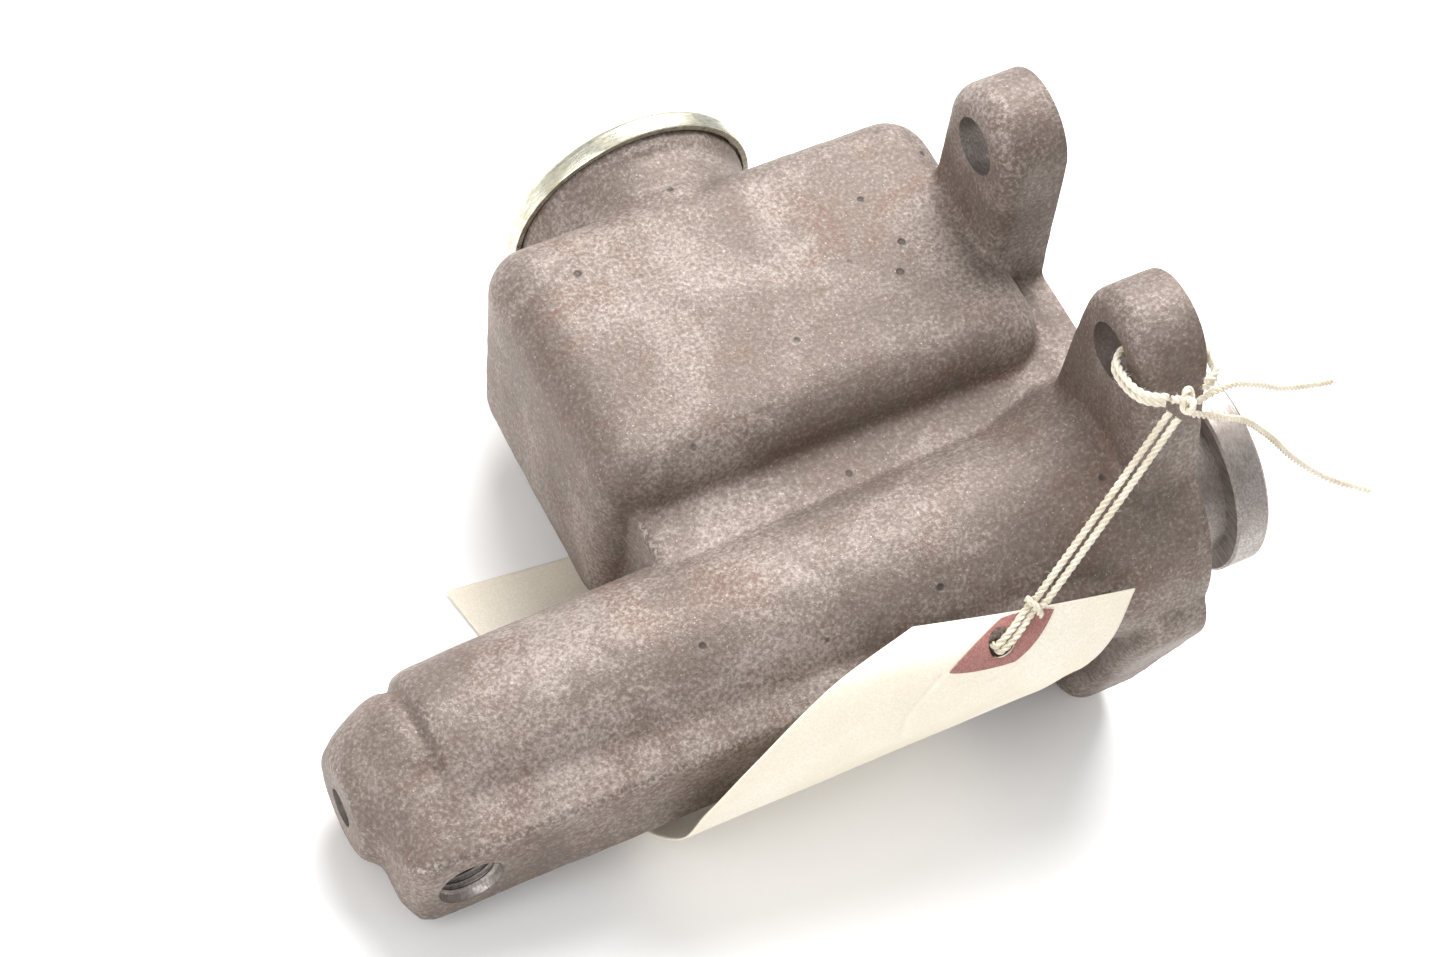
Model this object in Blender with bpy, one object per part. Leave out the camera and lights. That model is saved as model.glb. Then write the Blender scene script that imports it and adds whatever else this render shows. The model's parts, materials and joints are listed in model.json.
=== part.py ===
"""Single-circuit brake master cylinder with an integral reservoir, lying on its side.

Everything is drawn in the bore's own frame: X runs along the bore from the nose to the
push-rod end, Y points from the bore to the reservoir cover, Z completes it. The empty
"lying_pose" then turns that frame into the pose in which the part lies on a flat surface,
on its nose and the two lower ears, with +Z up and the origin under its middle.
"""
import math

import bmesh
import bpy
from mathutils import Matrix, Vector

MM = 0.001

# Clearance between pieces that touch, and the sides of a round piece
FIT_GAP = 0.3 * MM
ROUND_STEPS = 48

# Casting, along the bore
FLANGE_FRONT_X = 158.0 * MM
FLANGE_THICKNESS = 14.0 * MM
BOOT_GROOVE_WIDTH = 9.4 * MM
COLLAR_WIDTH = 7.5 * MM
NOSE_LENGTH = 15.0 * MM
NOSE_FACE_RADIUS = 10.4 * MM
NOSE_ROOT_RADIUS = 17.0 * MM
SHOULDER_LENGTH = 2.6 * MM
BARREL_FRONT_RADIUS = 19.3 * MM
BARREL_MID_RADIUS = 21.0 * MM
BARREL_REAR_RADIUS = 23.5 * MM
BOSS_RADIUS = 26.5 * MM
BOOT_GROOVE_RADIUS = 17.3 * MM
COLLAR_RADIUS = 21.6 * MM
COLLAR_CHAMFER = 0.7 * MM

# Keel, the flat-bottomed rib that carries the outlet
KEEL_DEPTH = 23.7 * MM
KEEL_HALF_WIDTH = 11.0 * MM
KEEL_ROOT_HALF_WIDTH = 16.5 * MM
KEEL_FRONT_X = 3.4 * MM
KEEL_CORNER = 3.0 * MM
OUTLET_X = 15.7 * MM
OUTLET_RADIUS = 6.0 * MM

# Bore and passages
BORE_RADIUS = 12.7 * MM
BORE_FRONT_X = 24.0 * MM
CHAMBER_RADIUS = 8.2 * MM
CHAMBER_FRONT_X = 9.0 * MM
NOSE_PORT_RADIUS = 3.8 * MM
MOUTH_CHAMFER = 1.2 * MM
INTAKE_RADIUS = 3.0 * MM
BLEED_RADIUS = 1.0 * MM

# Reservoir
RESERVOIR_FRONT_X = 66.3 * MM
RESERVOIR_REAR_OVERLAP = 6.0 * MM
RESERVOIR_FLOOR_Y = 26.5 * MM
RESERVOIR_TOP_Y = 89.0 * MM
RESERVOIR_HALF_WIDTH = 27.0 * MM
RESERVOIR_CORNER = 10.0 * MM
RESERVOIR_WALL = 4.5 * MM
RESERVOIR_EDGE = 8.5 * MM
RESERVOIR_DRAFT = 1.5 * MM
WEB_HALF_WIDTH = 15.5 * MM

# Filler neck, cover and its bolt
COVER_X = 108.2 * MM
NECK_HEIGHT = 12.2 * MM
NECK_OUTER_RADIUS = 25.4 * MM
NECK_BORE_RADIUS = 20.0 * MM
COVER_THICKNESS = 1.2 * MM
RIM_HEIGHT = 3.8 * MM
RIM_WIDTH = 1.5 * MM
GASKET_THICKNESS = 1.2 * MM
POST_RADIUS = 7.0 * MM
POST_DROP = 3.2 * MM
BOLT_RADIUS = 3.9 * MM
BOLT_LENGTH = 24.0 * MM
BOLT_HEAD_FLATS = 13.0 * MM
BOLT_HEAD_HEIGHT = 5.3 * MM
BOLT_WASHER_RADIUS = 8.0 * MM
BOLT_WASHER_THICKNESS = 1.2 * MM

# Mounting ears, by the centre of each bolt hole
EAR_Z = 48.7 * MM
HIGH_EAR_Y = 57.8 * MM
LOW_EAR_Y = 5.3 * MM
EAR_RADIUS = 12.0 * MM
EAR_HOLE_RADIUS = 6.0 * MM
EAR_EDGE = 3.0 * MM
PAD_SHIFT_Y = 10.5 * MM

# Piston group, counted from the open end
SNAP_RING_INSET = 3.0 * MM
SNAP_RING_THICKNESS = 1.4 * MM
SNAP_RING_WIDTH = 2.4 * MM
SNAP_GROOVE_DEPTH = 1.3 * MM
STOP_PLATE_THICKNESS = 2.0 * MM
STOP_PLATE_HOLE_RADIUS = 8.5 * MM
PISTON_LENGTH = 72.0 * MM
PISTON_LAND = 8.0 * MM
PISTON_WAIST_RADIUS = 7.0 * MM
PISTON_TAIL_LAND = 4.0 * MM
SOCKET_RADIUS = 5.5 * MM
SOCKET_DEPTH = 14.0 * MM
SECONDARY_CUP_WIDTH = 6.5 * MM
CUP_WASHER_THICKNESS = 0.6 * MM
PRIMARY_CUP_LENGTH = 8.0 * MM
PRIMARY_CUP_WALL = 3.0 * MM
RETAINER_LENGTH = 4.5 * MM
SPRING_WIRE_RADIUS = 0.9 * MM
SPRING_COIL_RADIUS = 8.4 * MM
SPRING_TURNS = 9
PISTON_STROKE = 30.0 * MM

# Residual pressure valve at the blind end
SEAT_THICKNESS = 3.0 * MM
SEAT_HOLE_RADIUS = 6.5 * MM
VALVE_FLANGE_THICKNESS = 1.5 * MM
VALVE_BODY_LENGTH = 8.0 * MM
VALVE_BODY_RADIUS = 7.0 * MM
VALVE_WALL = 1.0 * MM

# Tag and string
TAG_THICKNESS = 0.4 * MM
PATCH_THICKNESS = 0.25 * MM
STRING_RADIUS = 0.75 * MM
TAG_HOLE_RADIUS = 3.0 * MM
PATCH_RADIUS = 9.0 * MM
TAG_BULGE = 2.2 * MM
TAG_HOLE_ACROSS = 0.5
TAG_HOLE_ALONG = 0.6
KNOT_CENTRE = Vector((165.0, -10.4, 50.0)) * MM
KNOT_RADIUS = 2.6 * MM

# Places along the bore
FLANGE_REAR_X = FLANGE_FRONT_X + FLANGE_THICKNESS
COLLAR_FRONT_X = FLANGE_REAR_X + BOOT_GROOVE_WIDTH
MOUTH_X = COLLAR_FRONT_X + COLLAR_WIDTH
SHOULDER_X = NOSE_LENGTH + SHOULDER_LENGTH
MID_X = 0.5 * (SHOULDER_X + FLANGE_FRONT_X)
RESERVOIR_REAR_X = FLANGE_FRONT_X + RESERVOIR_REAR_OVERLAP

# Levels above the bore, from the reservoir's top up the neck and down to the centre post
NECK_TOP_Y = RESERVOIR_TOP_Y + NECK_HEIGHT
POST_TOP_Y = NECK_TOP_Y - POST_DROP

# The stack in the bore, from the mouth inwards, and what lines up with it
SNAP_RING_REAR_X = MOUTH_X - SNAP_RING_INSET
SNAP_RING_FRONT_X = SNAP_RING_REAR_X - SNAP_RING_THICKNESS
STOP_PLATE_REAR_X = SNAP_RING_FRONT_X - FIT_GAP
STOP_PLATE_FRONT_X = STOP_PLATE_REAR_X - STOP_PLATE_THICKNESS
PISTON_REAR_X = STOP_PLATE_FRONT_X - FIT_GAP
PISTON_FRONT_X = PISTON_REAR_X - PISTON_LENGTH
CUP_WASHER_REAR_X = PISTON_FRONT_X - FIT_GAP
CUP_REAR_X = CUP_WASHER_REAR_X - CUP_WASHER_THICKNESS - FIT_GAP
CUP_FRONT_X = CUP_REAR_X - PRIMARY_CUP_LENGTH
RETAINER_REAR_X = CUP_REAR_X - PRIMARY_CUP_WALL - FIT_GAP
RETAINER_FRONT_X = RETAINER_REAR_X - RETAINER_LENGTH
BLEED_X = CUP_FRONT_X - BLEED_RADIUS - FIT_GAP
INTAKE_X = COVER_X + POST_RADIUS + INTAKE_RADIUS + 2.0 * MM
SEAT_FRONT_X = BORE_FRONT_X + FIT_GAP
VALVE_FRONT_X = SEAT_FRONT_X + SEAT_THICKNESS + FIT_GAP
SLIDING_RADIUS = BORE_RADIUS - FIT_GAP
COVER_BASE_Y = NECK_TOP_Y + FIT_GAP + GASKET_THICKNESS + FIT_GAP

# The part lies on its barrel's shoulder and on the rounded tips of its two far ears
EAR_DROP = EAR_Z + EAR_RADIUS - EAR_EDGE - BARREL_FRONT_RADIUS
EAR_RUN = FLANGE_FRONT_X + EAR_EDGE - SHOULDER_X
LYING_TILT = math.atan2(EAR_DROP, EAR_RUN) + math.asin(EAR_EDGE / math.hypot(EAR_DROP, EAR_RUN))


def clear_scene():
    for obj in list(bpy.data.objects):
        bpy.data.objects.remove(obj, do_unlink=True)


def make_material(name, color, roughness, metallic):
    material = bpy.data.materials.new(name)
    material.use_nodes = True
    shader = material.node_tree.nodes["Principled BSDF"]
    shader.inputs["Base Color"].default_value = (*color, 1.0)
    shader.inputs["Roughness"].default_value = roughness
    shader.inputs["Metallic"].default_value = metallic
    return material


def add_object(name, bm, material, origin=(0.0, 0.0, 0.0), smooth_angle=40.0):
    """Turn a bmesh, drawn in the bore's frame, into an object whose origin is at origin."""
    bmesh.ops.translate(bm, verts=bm.verts, vec=-Vector(origin))
    bmesh.ops.recalc_face_normals(bm, faces=bm.faces)
    mesh = bpy.data.meshes.new(name)
    bm.to_mesh(mesh)
    bm.free()
    if smooth_angle:
        mesh.shade_smooth()
        mesh.set_sharp_from_angle(angle=math.radians(smooth_angle))
    if material:
        mesh.materials.append(material)
    obj = bpy.data.objects.new(name, mesh)
    bpy.context.collection.objects.link(obj)
    obj.parent = LYING_POSE
    obj.location = origin
    return obj


def turned(profile, segments=ROUND_STEPS, axis="X", centre=(0.0, 0.0, 0.0)):
    """Revolve a profile of (distance along the axis, radius) points into a closed bmesh.

    A profile that starts and ends on the axis gives a solid; one that doesn't is closed
    on itself and gives a ring.
    """
    bm = bmesh.new()
    centre = Vector(centre)

    def place(along, radius, angle):
        across = radius * math.cos(angle)
        up = radius * math.sin(angle)
        if axis == "X":
            return centre + Vector((along, across, up))
        return centre + Vector((across, along, up))

    rings = []
    for along, radius in profile:
        if radius < 1e-9:
            rings.append([bm.verts.new(place(along, 0.0, 0.0))])
        else:
            step = 2.0 * math.pi / segments
            rings.append([bm.verts.new(place(along, radius, step * k)) for k in range(segments)])
    pairs = list(zip(rings, rings[1:]))
    if len(rings[0]) > 1:
        pairs.append((rings[-1], rings[0]))
    for one, two in pairs:
        for k in range(segments):
            after = (k + 1) % segments
            corners = [one[k % len(one)], one[after % len(one)], two[after % len(two)], two[k % len(two)]]
            unique = list(dict.fromkeys(corners))
            if len(unique) > 2:
                bm.faces.new(unique)
    return bm


def disc_points(centre, radius, segments=24, axis="X"):
    points = []
    for k in range(segments):
        angle = 2.0 * math.pi * k / segments
        across, up = radius * math.cos(angle), radius * math.sin(angle)
        offset = (0.0, across, up) if axis == "X" else (across, 0.0, up)
        points.append(Vector(centre) + Vector(offset))
    return points


def hull(points):
    bm = bmesh.new()
    for point in points:
        bm.verts.new(point)
    result = bmesh.ops.convex_hull(bm, input=bm.verts)
    spare = [g for g in result["geom_interior"] if isinstance(g, bmesh.types.BMVert)]
    bmesh.ops.delete(bm, geom=spare, context="VERTS")
    return bm


def box_points(low, high):
    return [Vector((x, y, z)) for x in (low[0], high[0]) for y in (low[1], high[1]) for z in (low[2], high[2])]


def flange_disc(y, z, radius, edge=EAR_EDGE):
    """Points of a disc through the flange's thickness, with a rounded front edge."""
    front = disc_points((FLANGE_FRONT_X, y, z), radius - edge)
    middle = disc_points((FLANGE_FRONT_X + 0.3 * edge, y, z), radius - 0.3 * edge)
    full = disc_points((FLANGE_FRONT_X + edge, y, z), radius)
    rear = disc_points((FLANGE_REAR_X, y, z), radius)
    return front + middle + full + rear


def pillow(front_x, rear_x, low_y, high_y, half_width, corner, edge, draft, steps=4):
    """A box with rounded edges and a little draft on each side of its z = 0 parting line."""
    levels = [(0.0, 0.0), (half_width - edge, draft)]
    for k in range(1, steps + 1):
        angle = 0.5 * math.pi * k / steps
        levels.append((half_width - edge + edge * math.sin(angle), draft + edge * (1.0 - math.cos(angle))))
    levels = [(-z, inset) for z, inset in reversed(levels[1:])] + levels
    bm = bmesh.new()
    loops = []
    for z, inset in levels:
        radius = max(corner - 0.6 * inset, 1.0 * MM)
        x0, x1 = front_x + inset, rear_x - inset
        y0, y1 = low_y + inset, high_y - inset
        centres = [(x1 - radius, y1 - radius, 0), (x0 + radius, y1 - radius, 1),
                   (x0 + radius, y0 + radius, 2), (x1 - radius, y0 + radius, 3)]
        loop = []
        for cx, cy, quarter in centres:
            for k in range(steps + 1):
                angle = 0.5 * math.pi * (quarter + k / steps)
                loop.append(bm.verts.new((cx + radius * math.cos(angle), cy + radius * math.sin(angle), z)))
        loops.append(loop)
    count = len(loops[0])
    for one, two in zip(loops, loops[1:]):
        for k in range(count):
            after = (k + 1) % count
            bm.faces.new((one[k], one[after], two[after], two[k]))
    bm.faces.new(loops[0])
    bm.faces.new(loops[-1])
    return bm


def hide_tool(obj):
    obj.hide_render = True
    obj.display_type = "WIRE"


def combine_all(target, shapes, operation, name):
    """Join several bmeshes to the target at once, or cut them all away, and return their tools."""
    group = bpy.data.collections.new(name)
    bpy.context.scene.collection.children.link(group)
    tools = {}
    for word, bm in shapes.items():
        tool = add_object(name + "_" + word, bm, None, smooth_angle=None)
        hide_tool(tool)
        group.objects.link(tool)
        tools[word] = tool
    modifier = target.modifiers.new(name, "BOOLEAN")
    modifier.operation = operation
    modifier.solver = "EXACT"
    modifier.operand_type = "COLLECTION"
    modifier.collection = group
    return tools


def combine(target, bm, operation, name):
    """Join a bmesh to the target, or cut it away, with a Boolean, and return its tool."""
    tool = add_object(name, bm, None, smooth_angle=None)
    hide_tool(tool)
    modifier = target.modifiers.new(name, "BOOLEAN")
    modifier.operation = operation
    modifier.solver = "EXACT"
    modifier.object = tool
    return tool


# Casting ------------------------------------------------------------------------------

def barrel_profile():
    shoulder = NOSE_ROOT_RADIUS + 0.45 * (BARREL_FRONT_RADIUS - NOSE_ROOT_RADIUS)
    nose = NOSE_ROOT_RADIUS - NOSE_FACE_RADIUS
    return [
        (0.0, 0.0),
        (0.0, NOSE_FACE_RADIUS),
        (0.24 * NOSE_LENGTH, NOSE_FACE_RADIUS + 0.40 * nose),
        (0.45 * NOSE_LENGTH, NOSE_FACE_RADIUS + 0.62 * nose),
        (0.68 * NOSE_LENGTH, NOSE_FACE_RADIUS + 0.88 * nose),
        (NOSE_LENGTH, NOSE_ROOT_RADIUS),
        (NOSE_LENGTH + 0.45 * SHOULDER_LENGTH, shoulder),
        (SHOULDER_X, BARREL_FRONT_RADIUS),
        (MID_X, BARREL_MID_RADIUS),
        (FLANGE_FRONT_X - 12.0 * MM, BARREL_REAR_RADIUS),
        (FLANGE_FRONT_X - 3.0 * MM, 0.5 * (BARREL_REAR_RADIUS + BOSS_RADIUS)),
        (FLANGE_FRONT_X + 2.0 * MM, BOSS_RADIUS),
        (FLANGE_REAR_X, BOSS_RADIUS),
        (FLANGE_REAR_X, BOOT_GROOVE_RADIUS),
        (COLLAR_FRONT_X, BOOT_GROOVE_RADIUS),
        (COLLAR_FRONT_X, COLLAR_RADIUS - COLLAR_CHAMFER),
        (COLLAR_FRONT_X + COLLAR_CHAMFER, COLLAR_RADIUS),
        (MOUTH_X - COLLAR_CHAMFER, COLLAR_RADIUS),
        (MOUTH_X, COLLAR_RADIUS - COLLAR_CHAMFER),
        (MOUTH_X, 0.0),
    ]


def keel_points():
    root_y = -0.45 * BARREL_FRONT_RADIUS
    rear_x = FLANGE_FRONT_X + 0.3 * FLANGE_THICKNESS
    points = []
    for side in (-1.0, 1.0):
        points.append(Vector((KEEL_FRONT_X + KEEL_CORNER, -KEEL_DEPTH, side * (KEEL_HALF_WIDTH - KEEL_CORNER))))
        points.append(Vector((KEEL_FRONT_X + 2.0 * KEEL_CORNER, -KEEL_DEPTH, side * KEEL_HALF_WIDTH)))
        points.append(Vector((KEEL_FRONT_X, -KEEL_DEPTH + 1.2 * KEEL_CORNER, side * (KEEL_HALF_WIDTH - KEEL_CORNER))))
        points.append(Vector((KEEL_FRONT_X, root_y, side * (KEEL_HALF_WIDTH - KEEL_CORNER))))
        points.append(Vector((SHOULDER_X, root_y, side * KEEL_ROOT_HALF_WIDTH)))
        points.append(Vector((rear_x, root_y, side * KEEL_ROOT_HALF_WIDTH)))
        points.append(Vector((rear_x, -KEEL_DEPTH, side * KEEL_HALF_WIDTH)))
    return points


def bore_profile():
    groove_radius = BORE_RADIUS + SNAP_GROOVE_DEPTH
    groove_front = SNAP_RING_FRONT_X - FIT_GAP
    groove_rear = SNAP_RING_REAR_X + FIT_GAP
    return [
        (-1.0 * MM, 0.0),
        (-1.0 * MM, NOSE_PORT_RADIUS),
        (CHAMBER_FRONT_X, NOSE_PORT_RADIUS),
        (CHAMBER_FRONT_X, CHAMBER_RADIUS),
        (BORE_FRONT_X, CHAMBER_RADIUS),
        (BORE_FRONT_X, BORE_RADIUS),
        (groove_front, BORE_RADIUS),
        (groove_front, groove_radius),
        (groove_rear, groove_radius),
        (groove_rear, BORE_RADIUS),
        (MOUTH_X - MOUTH_CHAMFER, BORE_RADIUS),
        (MOUTH_X + 0.1 * MM, BORE_RADIUS + MOUTH_CHAMFER),
        (MOUTH_X + 2.0 * MM, BORE_RADIUS + MOUTH_CHAMFER),
        (MOUTH_X + 2.0 * MM, 0.0),
    ]


def ear_shapes():
    """Each ear is one hull: a disc round its bolt hole and a root against the middle of the flange."""
    shapes = {}
    for side, word in ((1.0, "near"), (-1.0, "far")):
        high = flange_disc(HIGH_EAR_Y, side * EAR_Z, EAR_RADIUS)
        high_root = flange_disc(HIGH_EAR_Y, 0.28 * side * EAR_Z, EAR_RADIUS + 1.0 * MM)
        low = flange_disc(LOW_EAR_Y, side * EAR_Z, EAR_RADIUS)
        low_root = flange_disc(0.6 * LOW_EAR_Y, 0.37 * side * EAR_Z, 0.64 * BOSS_RADIUS)
        if side < 0.0:
            low = low + flange_disc(LOW_EAR_Y - PAD_SHIFT_Y, side * EAR_Z, EAR_RADIUS)
            low_root = low_root + flange_disc(-0.74 * BOSS_RADIUS, -0.34 * BOSS_RADIUS,
                                              0.37 * BOSS_RADIUS)
        shapes["high_ear_" + word] = hull(high + high_root)
        shapes["low_ear_" + word] = hull(low + low_root)
    return shapes


def drilled(profile, segments, axis, centre):
    """A tool for a plain hole: profile is (start, end, radius)."""
    start, end, radius = profile
    return turned([(start, 0.0), (start, radius), (end, radius), (end, 0.0)],
                  segments=segments, axis=axis, centre=centre)


def build_casting(material):
    casting = add_object("body_casting", turned(barrel_profile()), material)
    wall = RESERVOIR_WALL
    cover_axis = (COVER_X, 0.0, 0.0)
    neck_foot = RESERVOIR_TOP_Y - 3.0 * MM
    solids = {
        "keel": hull(keel_points()),
        "reservoir": pillow(RESERVOIR_FRONT_X, RESERVOIR_REAR_X, RESERVOIR_FLOOR_Y, RESERVOIR_TOP_Y,
                            RESERVOIR_HALF_WIDTH, RESERVOIR_CORNER, RESERVOIR_EDGE, RESERVOIR_DRAFT),
        "web": hull(box_points((RESERVOIR_FRONT_X + 0.5 * RESERVOIR_CORNER, 0.0, -WEB_HALF_WIDTH),
                               (FLANGE_FRONT_X + EAR_EDGE, RESERVOIR_FLOOR_Y + RESERVOIR_CORNER,
                                WEB_HALF_WIDTH))),
        "neck": turned([(neck_foot, 0.0), (neck_foot, NECK_OUTER_RADIUS - 1.5 * MM),
                        (NECK_TOP_Y - 4.0 * MM, NECK_OUTER_RADIUS - 1.5 * MM),
                        (NECK_TOP_Y - 2.0 * MM, NECK_OUTER_RADIUS), (NECK_TOP_Y, NECK_OUTER_RADIUS),
                        (NECK_TOP_Y, 0.0)], axis="Y", centre=cover_axis),
        "plate": hull(box_points((FLANGE_FRONT_X + 1.0 * MM, 0.0, -WEB_HALF_WIDTH),
                                 (FLANGE_REAR_X, HIGH_EAR_Y + EAR_RADIUS, WEB_HALF_WIDTH))),
    }
    solids.update(ear_shapes())
    combine_all(casting, solids, "UNION", "casting_solids")

    past = 2.0 * MM
    holes = {
        "cavity": pillow(RESERVOIR_FRONT_X + wall, RESERVOIR_REAR_X - wall, RESERVOIR_FLOOR_Y + wall,
                         RESERVOIR_TOP_Y - wall, RESERVOIR_HALF_WIDTH - wall, RESERVOIR_CORNER - wall,
                         RESERVOIR_EDGE - wall, RESERVOIR_DRAFT, steps=2),
        "bore": turned(bore_profile()),
        "outlet": drilled((-KEEL_DEPTH - past, -0.5 * CHAMBER_RADIUS, OUTLET_RADIUS), 32, "Y",
                          (OUTLET_X, 0.0, 0.0)),
        "intake": drilled((0.8 * BORE_RADIUS, RESERVOIR_FLOOR_Y + 1.5 * wall, INTAKE_RADIUS), 12, "Y",
                          (INTAKE_X, 0.0, 0.0)),
        "bleed": drilled((0.8 * BORE_RADIUS, RESERVOIR_FLOOR_Y + 1.5 * wall, BLEED_RADIUS), 12, "Y",
                         (BLEED_X, 0.0, 0.0)),
        "thread": drilled((COVER_BASE_Y - BOLT_LENGTH, POST_TOP_Y + past, BOLT_RADIUS + FIT_GAP), 24, "Y",
                          cover_axis),
    }
    for word, y, z in (("high_near", HIGH_EAR_Y, EAR_Z), ("low_near", LOW_EAR_Y, EAR_Z),
                       ("high_far", HIGH_EAR_Y, -EAR_Z), ("low_far", LOW_EAR_Y, -EAR_Z)):
        holes[word] = drilled((FLANGE_FRONT_X - past, FLANGE_REAR_X + past, EAR_HOLE_RADIUS), 24, "X",
                              (0.0, y, z))
    tools = combine_all(casting, holes, "DIFFERENCE", "casting_holes")
    neck_bore = drilled((RESERVOIR_TOP_Y - 2.0 * wall, NECK_TOP_Y + past, NECK_BORE_RADIUS), ROUND_STEPS, "Y",
                        cover_axis)
    combine(tools["cavity"], neck_bore, "UNION", "neck_bore")
    post = drilled((RESERVOIR_FLOOR_Y, POST_TOP_Y, POST_RADIUS), 24, "Y", cover_axis)
    combine(tools["cavity"], post, "DIFFERENCE", "spare_post")


# Cover --------------------------------------------------------------------------------

def build_cover(steel, gasket_material, bolt_material):
    axis = (COVER_X, COVER_BASE_Y, 0.0)
    rim_outer = NECK_OUTER_RADIUS + FIT_GAP + RIM_WIDTH
    rim_inner = NECK_OUTER_RADIUS + FIT_GAP
    bolt_hole = BOLT_RADIUS + FIT_GAP
    skirt_y = COVER_THICKNESS - RIM_HEIGHT
    cover = turned([(0.0, bolt_hole), (0.0, rim_inner - 0.1 * MM), (skirt_y, rim_inner),
                    (skirt_y, rim_outer - 0.5 * MM), (skirt_y + 0.8 * MM, rim_outer),
                    (COVER_THICKNESS - 0.8 * MM, rim_outer), (COVER_THICKNESS, rim_outer - 0.8 * MM),
                    (COVER_THICKNESS, bolt_hole)],
                   axis="Y", centre=axis)
    add_object("reservoir_cover", cover, steel, axis)

    gasket = turned([(-FIT_GAP - GASKET_THICKNESS, NECK_BORE_RADIUS + FIT_GAP),
                     (-FIT_GAP - GASKET_THICKNESS, NECK_OUTER_RADIUS - FIT_GAP),
                     (-FIT_GAP, NECK_OUTER_RADIUS - FIT_GAP), (-FIT_GAP, NECK_BORE_RADIUS + FIT_GAP)],
                    axis="Y", centre=axis)
    add_object("cover_gasket", gasket, gasket_material, axis)

    washer_base = COVER_THICKNESS + FIT_GAP
    washer_top = washer_base + BOLT_WASHER_THICKNESS
    washer = turned([(washer_base, bolt_hole), (washer_base, BOLT_WASHER_RADIUS),
                     (washer_top, BOLT_WASHER_RADIUS), (washer_top, bolt_hole)],
                    segments=32, axis="Y", centre=axis)
    add_object("bolt_washer", washer, bolt_material, axis)

    head_base = washer_top + FIT_GAP
    shank = turned([(2.0 * MM - BOLT_LENGTH, 0.0), (2.0 * MM - BOLT_LENGTH, BOLT_RADIUS - 0.8 * MM),
                    (3.0 * MM - BOLT_LENGTH, BOLT_RADIUS), (head_base + 1.0 * MM, BOLT_RADIUS),
                    (head_base + 1.0 * MM, 0.0)],
                   segments=24, axis="Y", centre=axis)
    bolt = add_object("cover_bolt", shank, bolt_material, axis)
    corner_radius = 0.5 * BOLT_HEAD_FLATS / math.cos(math.pi / 6.0)
    head = turned([(head_base, 0.0), (head_base, corner_radius), (head_base + BOLT_HEAD_HEIGHT, corner_radius),
                   (head_base + BOLT_HEAD_HEIGHT, 0.0)],
                  segments=6, axis="Y", centre=axis)
    combine(bolt, head, "UNION", "add_bolt_head")


# Pieces inside the bore ---------------------------------------------------------------

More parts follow.
